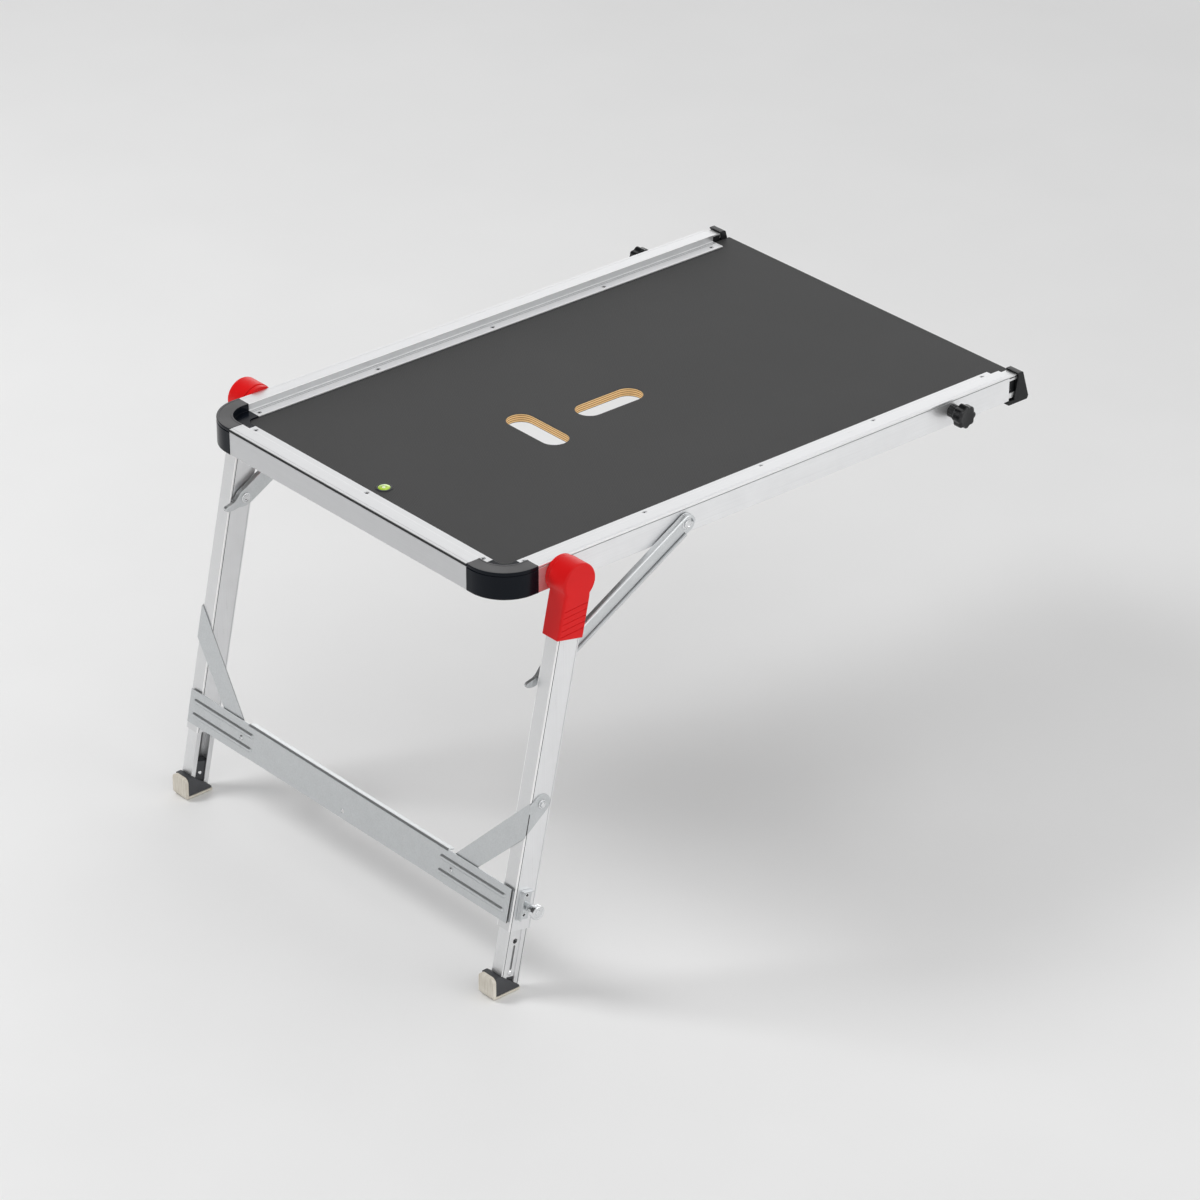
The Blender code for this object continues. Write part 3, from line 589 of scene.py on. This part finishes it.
hollow = rounded([(INNER + 2, LOW + 2, 0.8), (OUT - 2, LOW + 2, 0.8), (OUT - 2, TOP - 2, 0.8),
                  (INNER + 2, TOP - 2, 0.8)])
section = rail_section(580.3, 581.5, 1.1)
screw_rows = [-373.8 + 201.3 * i for i in range(5)]
screw_columns = [-235.0, 0.0, 235.0]
screw_hole = [(571, 0), (571, 3.5), (576, 3.5), (576, 0)]
for side, s in SIDES:
    holes = [lathe(screw_hole, (s * SCREW_X, y), "Z", n=32) for y in screw_rows]
    rail = piece(f"side_rail_section_{side}",
                 [extrude([mirrored(section, s), mirrored(hollow, s)], "Y", -380.7, 447.0)], DECK,
                 [ALU_SIDE, ALU_WALL_LIT, ALU_INSIDE_SHADE, RAIL_GROOVE_SHADE, EDGE_HIGHLIGHT], "deck_frame",
                 [f"side_rail_{side}"], cuts=holes, sharp=15)
    # Painted light on the outer wall; painted shade on the inner wall above the ledge and in the fine
    # grooves; painted highlight along the inner top edge.
    tint(rail, DECK, 1, lambda c, n, s=s: s * n.x > 0.9 and s * c.x > OUT - 0.3)
    tint(rail, DECK, 2, lambda c, n, s=s: s * n.x < -0.9 and abs(s * c.x - INNER) < 0.3 and c.z > LEDGE)
    tint(rail, DECK, 3, lambda c, n, s=s: 580.2 < c.z < 581.6 and OUT - 1.2 < s * c.x < OUT - 0.2)
    tint(rail, DECK, 3, lambda c, n, s=s: LEDGE - 0.8 < c.z < LEDGE - 0.1 and 280.4 < s * c.x < 284.7)
    tint(rail, DECK, 4, lambda c, n, s=s: c.z > TOP - 0.8 and INNER < s * c.x < INNER + 0.75)
turned_section = [(-445.0 + OUT - u, v) for u, v in rail_section(579.6, 583.2, 1.2)]
turned_hollow = [(-445.0 + OUT - u, v) for u, v in hollow]
rail = piece("front_rail_section", [extrude([turned_section, turned_hollow], "X", -245.2, 245.2)], DECK,
             [ALU_TOP, ALU_FRONT_SHADE, EDGE_HIGHLIGHT], "deck_frame", ["front_rail"], sharp=15,
             cuts=[lathe(screw_hole, (x, FRONT_SCREW_Y), "Z", n=32) for x in screw_columns])
# Painted shade on the front faces and a painted highlight along the inner top edge.
tint(rail, DECK, 1, lambda c, n: n.y < -0.9)
tint(rail, DECK, 2, lambda c, n: c.z > TOP - 0.8 and -423.8 < c.y < -423.0)
strip = rounded([(-445.4, 579.9, 0.4), (-444.1, 579.9, 0.1), (-444.1, 582.9, 0.1), (-445.4, 582.9, 0.4)])
piece("front_strip", [extrude([strip], "X", -244.9, 244.9)], DECK, [STRIP_AND_GAP_SHADE], "deck_frame",
      ["front_rail_strip"])

ring = rounded([(11.5, 574.3, 0.5), (11.5, 572.3, 0.3), (33.0, 572.3, 0.3), (33.0, 545.4, 0.6),
                (55.5, 545.4, 2.2), (55.5, 578.5, 0.3), (54.4, 578.8, 0.2), (54.4, 579.7, 0.2),
                (55.5, 580.0, 0.3), (55.5, 584.7, 1.8), (51.6, 584.7, 0.2), (51.3, 584.35, 0.2),
                (36.2, 584.35, 0.2), (35.9, 584.7, 0.2), (33.0, 584.7, 1.4), (33.0, 574.3, 0.5)])
corner_x, corner_y = OUT - 64.0, -445.0 + 64.0
stations = [(corner_x, bend_y, 0.0, -1.0)]
stations += [(bend_x, bend_y, c, d) for c, d in circle(0, 0, 1, 33, -math.pi / 2, math.pi / 2)]
stations += [(bend_x, corner_y, 1.0, 0.0)]
for side, s in SIDES:
    rings = [[(s * (cx + c * r), cy + d * r, z) for r, z in ring] for cx, cy, c, d in stations]
    cap = piece(f"corner_moulding_{side}", [skin(rings)], DECK, [CAP_GLOSS, CAP_TOP_ROUGH_LIT], "deck_frame",
                [f"corner_cap_{side}"])
    # Painted light: the upward faces of the cap get the lighter rough top.
    tint(cap, DECK, 1, lambda c, n: n.z > 0.75 and c.z > 583.0)


def screw(name, at, base, r, node, axis="Z", sign=1.0, matrix=DECK, body="deck_frame"):
    """Raised head with painted shade in its cross recess, standing on a base level along its axis."""
    arms, deep = 4, r * 0.30
    head = [(base, 0), (base, r), (base + 0.9, r), (base + 1.3, r * 0.94), (base + 1.5, r * 0.78),
            (base + 1.5, r * 0.74, arms, deep), (base + 0.35, r * 0.66, arms, deep), (base + 0.3, 0)]
    obj = piece(name, [lathe(head, at, axis, sign, 36)], matrix, [CHROME, RECESS_SHADE], body,
                [node] if node else ())
    # Painted shade: the faces near the middle of the head, in the cross recess, turn dark.
    centre, reach = matrix @ Vector(place(axis, *at, sign * (base + 0.6))), r * 0.64 * MM
    for face in obj.data.polygons:
        if (face.center - centre).length < reach:
            face.material_index = 1


for side, s in SIDES:
    for i, y in enumerate(screw_rows):
        screw(f"deck_screw_head_{side}_{i + 1}", (s * SCREW_X, y), SCREW_SEAT, SCREW_R,
              f"deck_screw_{side}_{i + 1}")
for i, x in enumerate(screw_columns):
    screw(f"deck_screw_head_front_{i + 1}", (x, FRONT_SCREW_Y), SCREW_SEAT, SCREW_R,
          f"deck_screw_front_{i + 1}")

for side, s in SIDES:
    disc = [(309.6, 0), (309.6, 24.2), (310.2, 25.0), (315.8, 25.0), (316.6, 24.7), (317.0, 24.0),
            (317.0, 6.0), (347.2, 6.0), (347.2, 0)]
    piece(f"hinge_disc_{side}", [lathe(disc, HINGE_YZ, sign=s, n=64)], DECK, [RED], "deck_frame",
          [f"hinge_boss_{side}"])
    washer = [(309.55, 0), (309.55, 8.8), (309.8, 9.0), (310.6, 9.0), (310.8, 8.7), (310.8, 0)]
    piece(f"pin_washer_{side}", [lathe(washer, STRUT_PIN_YZ, sign=s)], DECK, [CHROME], "deck_frame",
          [f"pivot_washer_{side}"])

# ---------------------------------------------------------------- folding leg frame
# The tube's inner and outer wall on X, half its depth on Y, and its lower end on Z.
A, B, HALF, LEG_END = 321.0, 345.5, 18.3, -483.5
leg_section = [(A, -HALF, 1.5), (B, -HALF, 1.5)]
leg_section += groove(B, -16.2, 1.1, 1.0, "V") + groove(B, HALF - 3.2, 0.8, 0.8, "V")
leg_section += [(B, HALF, 1.5), (A, HALF, 1.5)]
leg_section += groove(A, HALF - 2.4, -0.8, -0.8, "V") + groove(A, -15.1, -1.1, -1.0, "V")
leg_section = rounded(leg_section)
leg_hollow = rounded([(A + 1.8, -16.5, 0.8), (B - 1.8, -16.5, 0.8), (B - 1.8, 16.5, 0.8),
                      (A + 1.8, 16.5, 0.8)])
CAP_R, CAP_HALF, CAP_END, CAP_X0, CAP_X1 = 26.0, 21.3, -78.0, 317.3, 349.0
BAR_FRONT, BAR_BACK = -21.7, -20.1
BEADS = (-438.5, -458.5)
GUSSET_BOLT, PLUNGER, STRUT_RIVET, FOOT_RIVET = (0, -305.0), (0, -447.0), (0, -135.0), (0, -547.5)


def cap_outline(c):
    """Side view of the hinge cap, drawn in by c all round."""
    r, half = CAP_R - c, CAP_HALF - c
    meet = math.asin(half / CAP_R)
    arc = circle(0, 0, r, 41, -math.pi / 2 + meet * 0.999, 2 * math.pi - 2 * meet * 0.999)
    neck = min(v for u, v in arc)
    return rounded([(u, v, 0.0) for u, v in arc] + [(-half, neck - 5, 0.0), (-half, CAP_END + c, 1.0),
                                                    (half, CAP_END + c, 1.0), (half, neck - 5, 0.0)])


for side, s in SIDES:
    tube = piece(f"leg_section_{side}",
                 [extrude([mirrored(leg_section, s), mirrored(leg_hollow, s)], "Z", LEG_END, 14.0)], LEG,
                 [ALU_LEG, EDGE_HIGHLIGHT, GROOVE_SHADE, ALU_LEG_FRONT_SHADE], "leg_frame",
                 [f"leg_tube_{side}"], sharp=15)
    # Painted shade on the front faces.
    tint(tube, LEG, 3, lambda c, n: n.y < -0.9)
    # Painted highlight on the front corner edges and painted shade in the front grooves.
    for x, inward in ((s * A, s), (s * B, -s)):
        tint(tube, LEG, 1, lambda c, n, x=x: c.y < -16.3 and abs(c.x - x) < 1.4)
        tint(tube, LEG, 2, lambda c, n, x=x, k=inward: 0.2 < (c.x - x) * k < 1.05 and -16.3 < c.y < -15.0)
    levels = [(CAP_X0, 1.2), (CAP_X0 + 0.4, 0.4), (CAP_X0 + 1.2, 0.0)]
    levels += [(CAP_X1 - 3.4 + 3.4 * math.sin(a), 3.4 * (1 - math.cos(a)))
               for a in (0.0, 0.3, 0.6, 0.9, 1.2, math.pi / 2)]
    rings = [[(s * x, y, z) for y, z in cap_outline(c)] for x, c in levels]
    pocket = block(sorted((s * (A - 0.3), s * (B + 0.3))), (-HALF - 0.3, HALF + 0.3),
                   (CAP_END - 5, 14.3))
    bore = lathe([(316, 0), (316, 6.4), (347.4, 6.4), (347.4, 0)], (0, 0), sign=s)
    edge = [(CAP_X1 + 2.0, 0.0), (CAP_X1 - 1.7, 0.0), (CAP_X1 - 1.7, -1.2), (CAP_X1 - 0.7, -1.5),
            (CAP_X1 + 0.0, -7.6), (CAP_X1 + 2.0, -7.8)]
    rise = 5.2
    shingles = []
    for k in range(5):
        mid = -33.0 - 8.6 * k
        verts = [(s * x, y, z + mid + tilt) for y, tilt in ((-18.6, -rise), (18.6, rise)) for x, z in edge]
        shingles.append(skin([verts[:6], verts[6:]]))
    piece(f"hinge_cover_{side}", [skin(rings)], LEG, [RED], "leg_frame",
          [f"hinge_cap_{side}"], cuts=[pocket, bore, *shingles], sharp=38)
    fold = block(sorted((s * 346.2, s * 347.3)), (-18.9, -17.3), (-350.5, -317.0))
    gusset = refined(f"gusset_plate_{side}", f"gusset_{side}", [ZINC, SHADOW], "leg_frame",
                     bevel=0.25, matrix=LEG, cuts=[fold])
    # Painted shadow along the gusset's folded edge.
    tint(gusset, LEG, 1,
         lambda c, n, s=s: s * c.x < 346.8 and -19.0 < c.y < -17.2 and -350.0 < c.z < -316.9)
    piece(f"gusset_bolt_head_{side}",
          [lathe([(347.3, 0), (347.3, 6.2), (347.9, 6.2), (348.3, 5.8), (348.3, 4.9), (347.6, 4.6),
                  (347.6, 4.0), (349.6, 3.8), (350.4, 3.2), (350.7, 2.2), (350.0, 1.7), (349.9, 0)],
                 GUSSET_BOLT, sign=s)], LEG, [CHROME], "leg_frame", [f"gusset_bolt_{side}"])
    rivet = [(BAR_FRONT - 0.05, 0), (BAR_FRONT - 0.05, 3.5), (BAR_FRONT - 0.8, 3.3), (BAR_FRONT - 1.4, 2.6),
             (BAR_FRONT - 1.6, 1.7), (BAR_FRONT - 0.5, 1.3), (BAR_FRONT - 0.4, 0)]
    piece(f"bar_rivet_head_{side}", [lathe(rivet, (s * 224, -448.5), "Y", n=32)], LEG, [CHROME, RECESS_SHADE],
          "leg_frame", [f"crossbar_rivet_{side}"])
    plate = block(sorted((s * 345.7, s * 347.2)), (-10.2, 9.0), (-468.0, -426.2))
    front_fold = block(sorted((s * 346.3, s * 355.0)), (-10.4, -9.0), (-466.0, -428.0))
    top_fold = block(sorted((s * 346.3, s * 353.0)), (-9.6, 7.0), (-427.4, -426.0))
    barrel = lathe([(346.3, 0), (346.3, 5.6), (356.4, 5.6), (357.0, 5.2), (357.0, 0)], PLUNGER, sign=s)
    piece(f"plunger_housing_{side}", [plate], LEG, [ZINC_STRUT], "leg_frame",
          [f"plunger_bracket_{side}"], bevel=0.3, angle=50, joins=[front_fold, top_fold, barrel],
          cuts=[lathe([(340, 0), (340, 4.2), (362, 4.2), (362, 0)], PLUNGER, sign=s)])
    for k, level in enumerate((-461.0, -433.0)):
        screw(f"housing_screw_{side}_{k + 1}", (0.0, level), 347.2, 3.2, None, "X", s, LEG,
              "leg_frame")
    piece(f"strut_rivet_head_{side}",
          [lathe([(310.6, 0), (310.5, 2.2), (310.0, 2.7), (310.0, 4.3), (310.6, 4.7), (310.6, 5.2),
                  (310.1, 5.6), (310.3, 6.8), (310.6, 7.2), (310.9, 7.2), (310.9, 4.0), (319.3, 4.0),
                  (320.0, 3.3), (320.1, 1.9), (319.4, 1.5), (319.3, 0)], STRUT_RIVET, sign=s)],
          LEG, [CHROME], "leg_frame", [f"strut_rivet_{side}"])

middle = rounded([(BAR_FRONT, -472.5, 1.6), (-11.3, -472.5, 0.3), (-11.3, -470.9, 0.3),
                  (BAR_BACK, -470.9, 0.5), (BAR_BACK, -427.0, 0.6), (-18.6, -425.6, 0.4),
                  (-11.3, -425.6, 0.3), (-11.3, -424.0, 0.3),
                  (-19.3, -424.0, 0.5), (BAR_FRONT, -426.4, 0.5)])
ends = [extrude([rounded([(s * 341, -472.5, 1.0), (s * 213, -472.5, 0), (s * 213, -424.0, 0),
                          (s * 341, -424.0, 1.0)])], "Y", BAR_FRONT, BAR_BACK) for _, s in SIDES]
bar = piece("crossbar_pressing", [extrude([middle], "X", -213.0, 213.0), *ends], LEG, [ZINC, SHADOW],
            "leg_frame", ["crossbar"], sharp=20,
            cuts=[lathe([(-30, 0), (-30, 3.2), (-15, 3.2), (-15, 0)], (0, -461.5), "Y", n=32)])
# Painted shade on the end faces of the crossbar.
tint(bar, LEG, 1, lambda c, n: abs(n.x) > 0.7 and abs(c.x) > 340.0)
for side, s in SIDES:
    for k, level in enumerate(BEADS):
        rings = [[(u, BAR_FRONT - rise, v)
                  for u, v in stadium(s * 265.8, level, 125.4 + width, width, "U", 12)]
                 for width, rise in ((7.6, -0.2), (7.6, 0.05), (7.2, 0.3), (3.6, 2.0), (2.8, 2.2))]
        piece(f"bar_bead_{side}_{k + 1}", [skin(rings)], LEG, [ZINC], "leg_frame")

# ---------------------------------------------------------------- struts
for side, s in SIDES:
    STRUT, reach = strut_frame(side)
    body = f"brace_{side}"
    finger = [(2, 13.0), (-4, 12.6), (-11, 9.2), (-18, 7.9), (-25, 10.0), (-30, 11.6), (-33, 10.4),
              (-34.2, 7.6), (-32, 3.8), (-25.5, -0.8), (-16, -4.0), (-6, -11.2), (4, -13.0)]
    bar = rounded([(u, v, 0.0) for u, v in circle(reach, 0, 13.0, 33, -math.pi / 2, math.pi)]
                  + [(u, v, 3.0) for u, v in finger], 3)
    levels = [(311.2, 0.9), (311.5, 0.3), (312.2, 0.0)]
    levels += [(317.4 + 2.4 * math.sin(a), 2.4 - 2.4 * math.cos(a))
               for a in (0, 0.3, 0.6, 0.9, 1.2, math.pi / 2)]
    rings = [[(s * x, u, v) for u, v in inset(bar, depth)] for x, depth in levels]
    trough = (circle(reach, 0, 8.6, 25, -math.pi / 2, math.pi)
              + circle(0, 0, 8.6, 25, math.pi / 2, math.pi))
    low, high = sorted((s * 316.6, s * 326.0))
    seams = [block(sorted((s * 314.0, s * 318.0)), (-14.0, reach - 9.0), sorted((k * 7.5, k * 8.5)))
             for k in (-1, 1)]
    behind = [(-50, -30), (-12.5, -30), (-12.5, 30), (-50, 30)]
    mouth = [(reach - 9, -20), (reach + 20, -20), (reach + 20, -4), (reach - 9, -4)]
    strut = piece(f"strut_channel_{side}", [skin(rings)], STRUT, [ZINC_STRUT, GROOVE_SHADE], body,
                  [f"strut_{side}"],
                  cuts=[extrude([trough], "X", low, high), *seams, extrude([behind], "X", low, high),
                        extrude([mouth], "X", low, high),
                        lathe([(305, 0), (305, 4.4), (325, 4.4), (325, 0)], (0, 0), sign=s)])
    # Painted shade on the walls of the trough.
    tint(strut, STRUT, 1, lambda c, n, s=s: 313.5 < s * c.x < 316.5 and 7.4 < abs(c.z) < 8.55)
    piece(f"strut_pin_{side}",
          [lathe([(316.65, 0), (316.65, 8.2), (317.3, 8.2), (317.6, 7.9), (317.6, 6.9), (317.1, 6.7),
                  (317.1, 5.9), (318.6, 5.7), (319.3, 5.0), (319.5, 4.0), (318.9, 3.2), (318.7, 0)],
                 (reach, 0), sign=s)], STRUT, [CHROME], body, [f"strut_bolt_{side}"])

# ---------------------------------------------------------------- telescopic inner legs and feet
x_out, x_in, h = 343.3, 323.2, 16.1
for side, s in SIDES:
    body = f"inner_leg_body_{side}"
    back = LEG.inverted()
    points = [back @ v.co for v in frame["nodes"][f"inner_leg_{side}"].data.vertices]
    front_end = min(p.z for p in points if p.y < 0.2 - h)
    rear_end = min(p.z for p in points if p.y > h - 0.2)
    slope = (rear_end - front_end) / (2 * h)
    channel = [(x_in, -8.1, 0.5), (x_in, -h, 0.8), (x_out, -h, 0.9)]
    channel += groove(x_out, -13.9, 0.9, 0.9, "V")
    channel += [(x_out, -6.8, 0.5), (x_out - 2.6, -6.4, 0.3), (x_out - 2.6, 6.4, 0.3), (x_out, 6.8, 0.5)]
    channel += groove(x_out, 13.0, 0.9, 0.9, "V")
    channel += [(x_out, h, 0.9), (x_in, h, 0.8), (x_in, 8.1, 0.5), (x_in + 1.8, 8.1, 0.5),
                (x_in + 1.8, h - 1.8, 0.4), (x_out - 1.8, h - 1.8, 0.4), (x_out - 1.8, 8.4, 0.3),
                (x_out - 4.3, 8.0, 0.3),
                (x_out - 4.3, -8.0, 0.3), (x_out - 1.8, -8.4, 0.3), (x_out - 1.8, 1.8 - h, 0.4),
                (x_in + 1.8, 1.8 - h, 0.4), (x_in + 1.8, -8.1, 0.5)]
    holes = [lathe([(338, 0), (338, 3.6), (350, 3.6), (350, 0)], (0, PLUNGER[1] - 27.5 * k), sign=s, n=32)
             for k in range(-3, 3)]
    groove_cut = extrude([stadium(0, -525.5, 35, 3.4, "V", 10)], "X", *sorted((s * (x_out - 3.7), s * 350)))
    leg = piece(f"inner_leg_section_{side}",
                [extrude([mirrored(rounded(channel, 3), s)], "Z",
                         lambda u, v, a=front_end, k=slope: a + k * (v + h), -310.0)], LEG,
                [ALU_INNER, GROOVE_SHADE], body, [f"inner_leg_{side}"],
                cuts=[*holes, groove_cut], sharp=15)
    # Painted shade in the outer grooves and in the slot.
    tint(leg, LEG, 1, lambda c, n, s=s: 342.4 < s * c.x < 343.1 and 12.8 < abs(c.y) < 14.0)
    tint(leg, LEG, 1, lambda c, n, s=s: s * c.x < 340.6 and abs(c.y) < 4.0 and s * c.x > 338.9)
    refined(f"foot_wedge_{side}", f"foot_{side}", [GREY], body, bevel=0.8, matrix=LEG,
            cuts=[block(sorted((s * 338.7, s * 342.0)), (-8.6, 8.6), (-552.8, -529.0))])
    refined(f"foot_sole_{side}", f"sole_{side}", [SOLE], body, bevel=1.0, segments=3,
            angle=30)
    piece(f"foot_rivet_outer_{side}",
          [lathe([(x_out - 2.7, 0), (x_out - 2.7, 3.4), (x_out - 2.1, 3.3), (x_out - 1.5, 2.6),
                  (x_out - 1.2, 1.5), (x_out - 1.7, 0)], FOOT_RIVET, sign=s, n=32)], LEG, [CHROME], body)
    piece(f"foot_rivet_inner_{side}",
          [lathe([(325.5, 0), (325.5, 3.2), (324.9, 3.1), (324.1, 2.4), (323.8, 1.4), (324.3, 0)],
                 FOOT_RIVET, sign=s, n=32)], LEG, [CHROME], body)

    end = 361.0 if side == "left" else 375.0
    grip = [(346.0, 0), (346.0, 3.4), (357.2, 3.4), (357.2, 5.0), (358.2, 5.2), (358.6, 4.2)]
    if side == "right":
        for k in range(3):
            grip += [(359.4 + 1.8 * k, 4.2), (359.7 + 1.8 * k, 5.4), (360.7 + 1.8 * k, 5.4),
                     (361.0 + 1.8 * k, 4.2)]
        grip += [(end - 9.0, 4.4), (end - 8.4, 6.4), (end - 7.4, 9.2), (end - 6.6, 10.0), (end - 2.0, 10.2),
                 (end - 0.8, 9.8), (end - 0.1, 8.8), (end - 0.4, 7.2), (end - 1.2, 6.8), (end - 1.2, 4.0),
                 (end - 0.5, 3.6), (end - 0.3, 0)]
    else:
        grip += [(end - 0.6, 5.4), (end - 0.1, 4.8), (end, 0)]
    pull = piece(f"plunger_pull_{side}", [lathe(grip, PLUNGER, sign=s)], LEG, [CHROME, SHADOW],
                 f"plunger_body_{side}", [f"plunger_{side}"])
    # Painted shade on the thin shaft and in the narrow necks of the pull.
    tint(pull, LEG, 1, lambda c, n: math.hypot(c.y, c.z - PLUNGER[1]) < 4.45 and abs(c.x) < 366.0)

# ---------------------------------------------------------------- rear supports and clamp knobs
for side, s in SIDES:
    body = f"rear_support_{side}"
    # A groove with a black strip in it: painted shade for the dark gap line along the tube's top.
    gap_groove_cut = block(sorted((s * 305.9, s * 308.0)), (249.0, 464.0), (577.4, 579.2))
    refined(f"support_section_{side}", f"rear_support_tube_{side}", [ALU_TUBE], body,
            bevel=0.35, matrix=DECK, cuts=[gap_groove_cut])
    gap_shade_strip = block(sorted((s * 305.95, s * 306.9)), (250.4, 462.6), (577.5, 579.1))
    piece(f"support_gap_shade_strip_{side}", [gap_shade_strip], DECK, [STRIP_AND_GAP_SHADE], body, bevel=0.2)
    refined(f"support_shoe_{side}", f"rear_foot_{side}", [BLACK], body, bevel=0.9,
            segments=3)
    cheek = block(sorted((s * 289.62, s * 290.2)), (447.6, 462.0), (548.9, 579.5))
    piece(f"support_cheek_{side}", [cheek], DECK, [BLACK], body, bevel=0.15)

    knob = Vector(JOINTS[f"clamp_knob_turn_{side}"]["pos_m"])
    at = ((knob.y - ORIGIN.y) / MM, (knob.z - ORIGIN.z) / MM)
    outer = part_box(f"clamp_knob_{side}")[1 if s > 0 else 0]
    end = abs(ORIGIN.x - outer.x) / MM
    lobes, deep = 8, 2.2
    star = [(309.9, 0), (309.9, 9.4), (end - 20.2, 9.6, 16, 0.8), (end - 17.6, 10.2, 16, 1.0),
            (end - 16.6, 11.4, 16, 1.0), (end - 15.4, 11.6, 16, 0.9), (end - 14.9, 15.2, lobes, deep * 0.8),
            (end - 14.0, 16.2, lobes, deep), (end - 12.8, 16.6, lobes, deep),
            (end - 3.4, 16.6, lobes, deep), (end - 2.0, 16.3, lobes, deep), (end - 0.9, 15.4, lobes, deep),
            (end - 0.2, 13.8, lobes, deep * 0.8), (end, 12.2, lobes, deep * 0.5), (end - 0.3, 10.6),
            (end - 1.0, 6.0), (end - 1.2, 0)]
    piece(f"star_knob_{side}", [lathe(star, at, sign=s, n=112)], DECK, [KNOB], f"clamp_knob_body_{side}",
          [f"clamp_knob_{side}"], sharp=45)

# ---------------------------------------------------------------- floor, light and camera
floor_mesh = bpy.data.meshes.new("floor")
floor_mesh.from_pydata([(-9, -9, 0), (9, -9, 0), (9, 9, 0), (-9, 9, 0)], [], [(0, 1, 2, 3)])
floor = bpy.data.objects.new("floor", floor_mesh)
bpy.context.scene.collection.objects.link(floor)
pale, pale_tree, pale_shader = shader_of("pale_floor", (0.86, 0.86, 0.865), 0.0, 0.8)
soft = noise(pale_tree, (3, 3, 3), 0.0, 2.0)
pale_tree.links.new(ramp(pale_tree, soft, ((0.3, 0.85), (0.7, 0.87))), pale_shader.inputs["Base Color"])
floor_mesh.materials.append(pale)

world = bpy.data.worlds.new("studio")
bpy.context.scene.world = world
world.use_nodes = True
tree = world.node_tree
shade = tree.nodes["Background"]
direction = tree.nodes.new("ShaderNodeTexCoord").outputs["Generated"]


def toward(aim):
    """How far each direction of the sky points the same way as an aim, from -1 to 1."""
    dot = tree.nodes.new("ShaderNodeVectorMath")
    dot.operation = "DOT_PRODUCT"
    dot.inputs[1].default_value = Vector(aim).normalized()
    tree.links.new(direction, dot.inputs[0])
    return dot.outputs["Value"]


glow = ramp(tree, remap(tree, toward((-0.66, -0.48, 0.57)), 0.0, 1.0, (-1.0, 1.0)),
            ((0.0, 0.45), (0.78, 0.45), (0.93, 0.06), (1.0, 0.04)))
window = ramp(tree, remap(tree, toward((-0.66, 0.75, 0.05)), 0.0, 1.0, (0.0, 1.0)),
              ((0.0, 0.0), (0.80, 0.0), (0.92, 0.05), (1.0, 0.9)))
tree.links.new(blended(tree, 1.0, glow, window, "ADD"), shade.inputs["Color"])
shade.inputs["Strength"].default_value = 1.78


def area_light(name, at, target, size, power, glossy=True):
    data = bpy.data.lights.new(name, "AREA")
    data.shape, data.size, data.energy = "SQUARE", size, power
    light = bpy.data.objects.new(name, data)
    bpy.context.scene.collection.objects.link(light)
    light.location = at
    light.rotation_euler = (Vector(target) - Vector(at)).to_track_quat("-Z", "Y").to_euler()
    light.visible_glossy = glossy


area_light("key", (-2.2, -2.4, 3.6), (0.0, 0.0, 0.3), 1.6, 90.0, False)
area_light("side", (3.2, 1.2, 1.6), (0.0, 0.0, 0.4), 2.2, 22.0)

lens = bpy.data.cameras.new("camera")
lens.lens, lens.sensor_width = 152.0, 36.0
lens.clip_end = 60.0
camera = bpy.data.objects.new("camera", lens)
bpy.context.scene.collection.objects.link(camera)
right = Vector((0.65277521, 0.75754858, 0.00216168))
up = Vector((-0.36512565, 0.31212390, 0.87707578))
back = Vector((0.66375280, -0.57332261, 0.48034716))
camera.matrix_world = Matrix.Translation((4.56991, -3.96189, 3.58952)) @ Matrix(
    (right, up, back)).transposed().to_4x4()
bpy.context.scene.camera = camera
bpy.context.scene.view_settings.view_transform = "Standard"

bpy.context.view_layer.update()
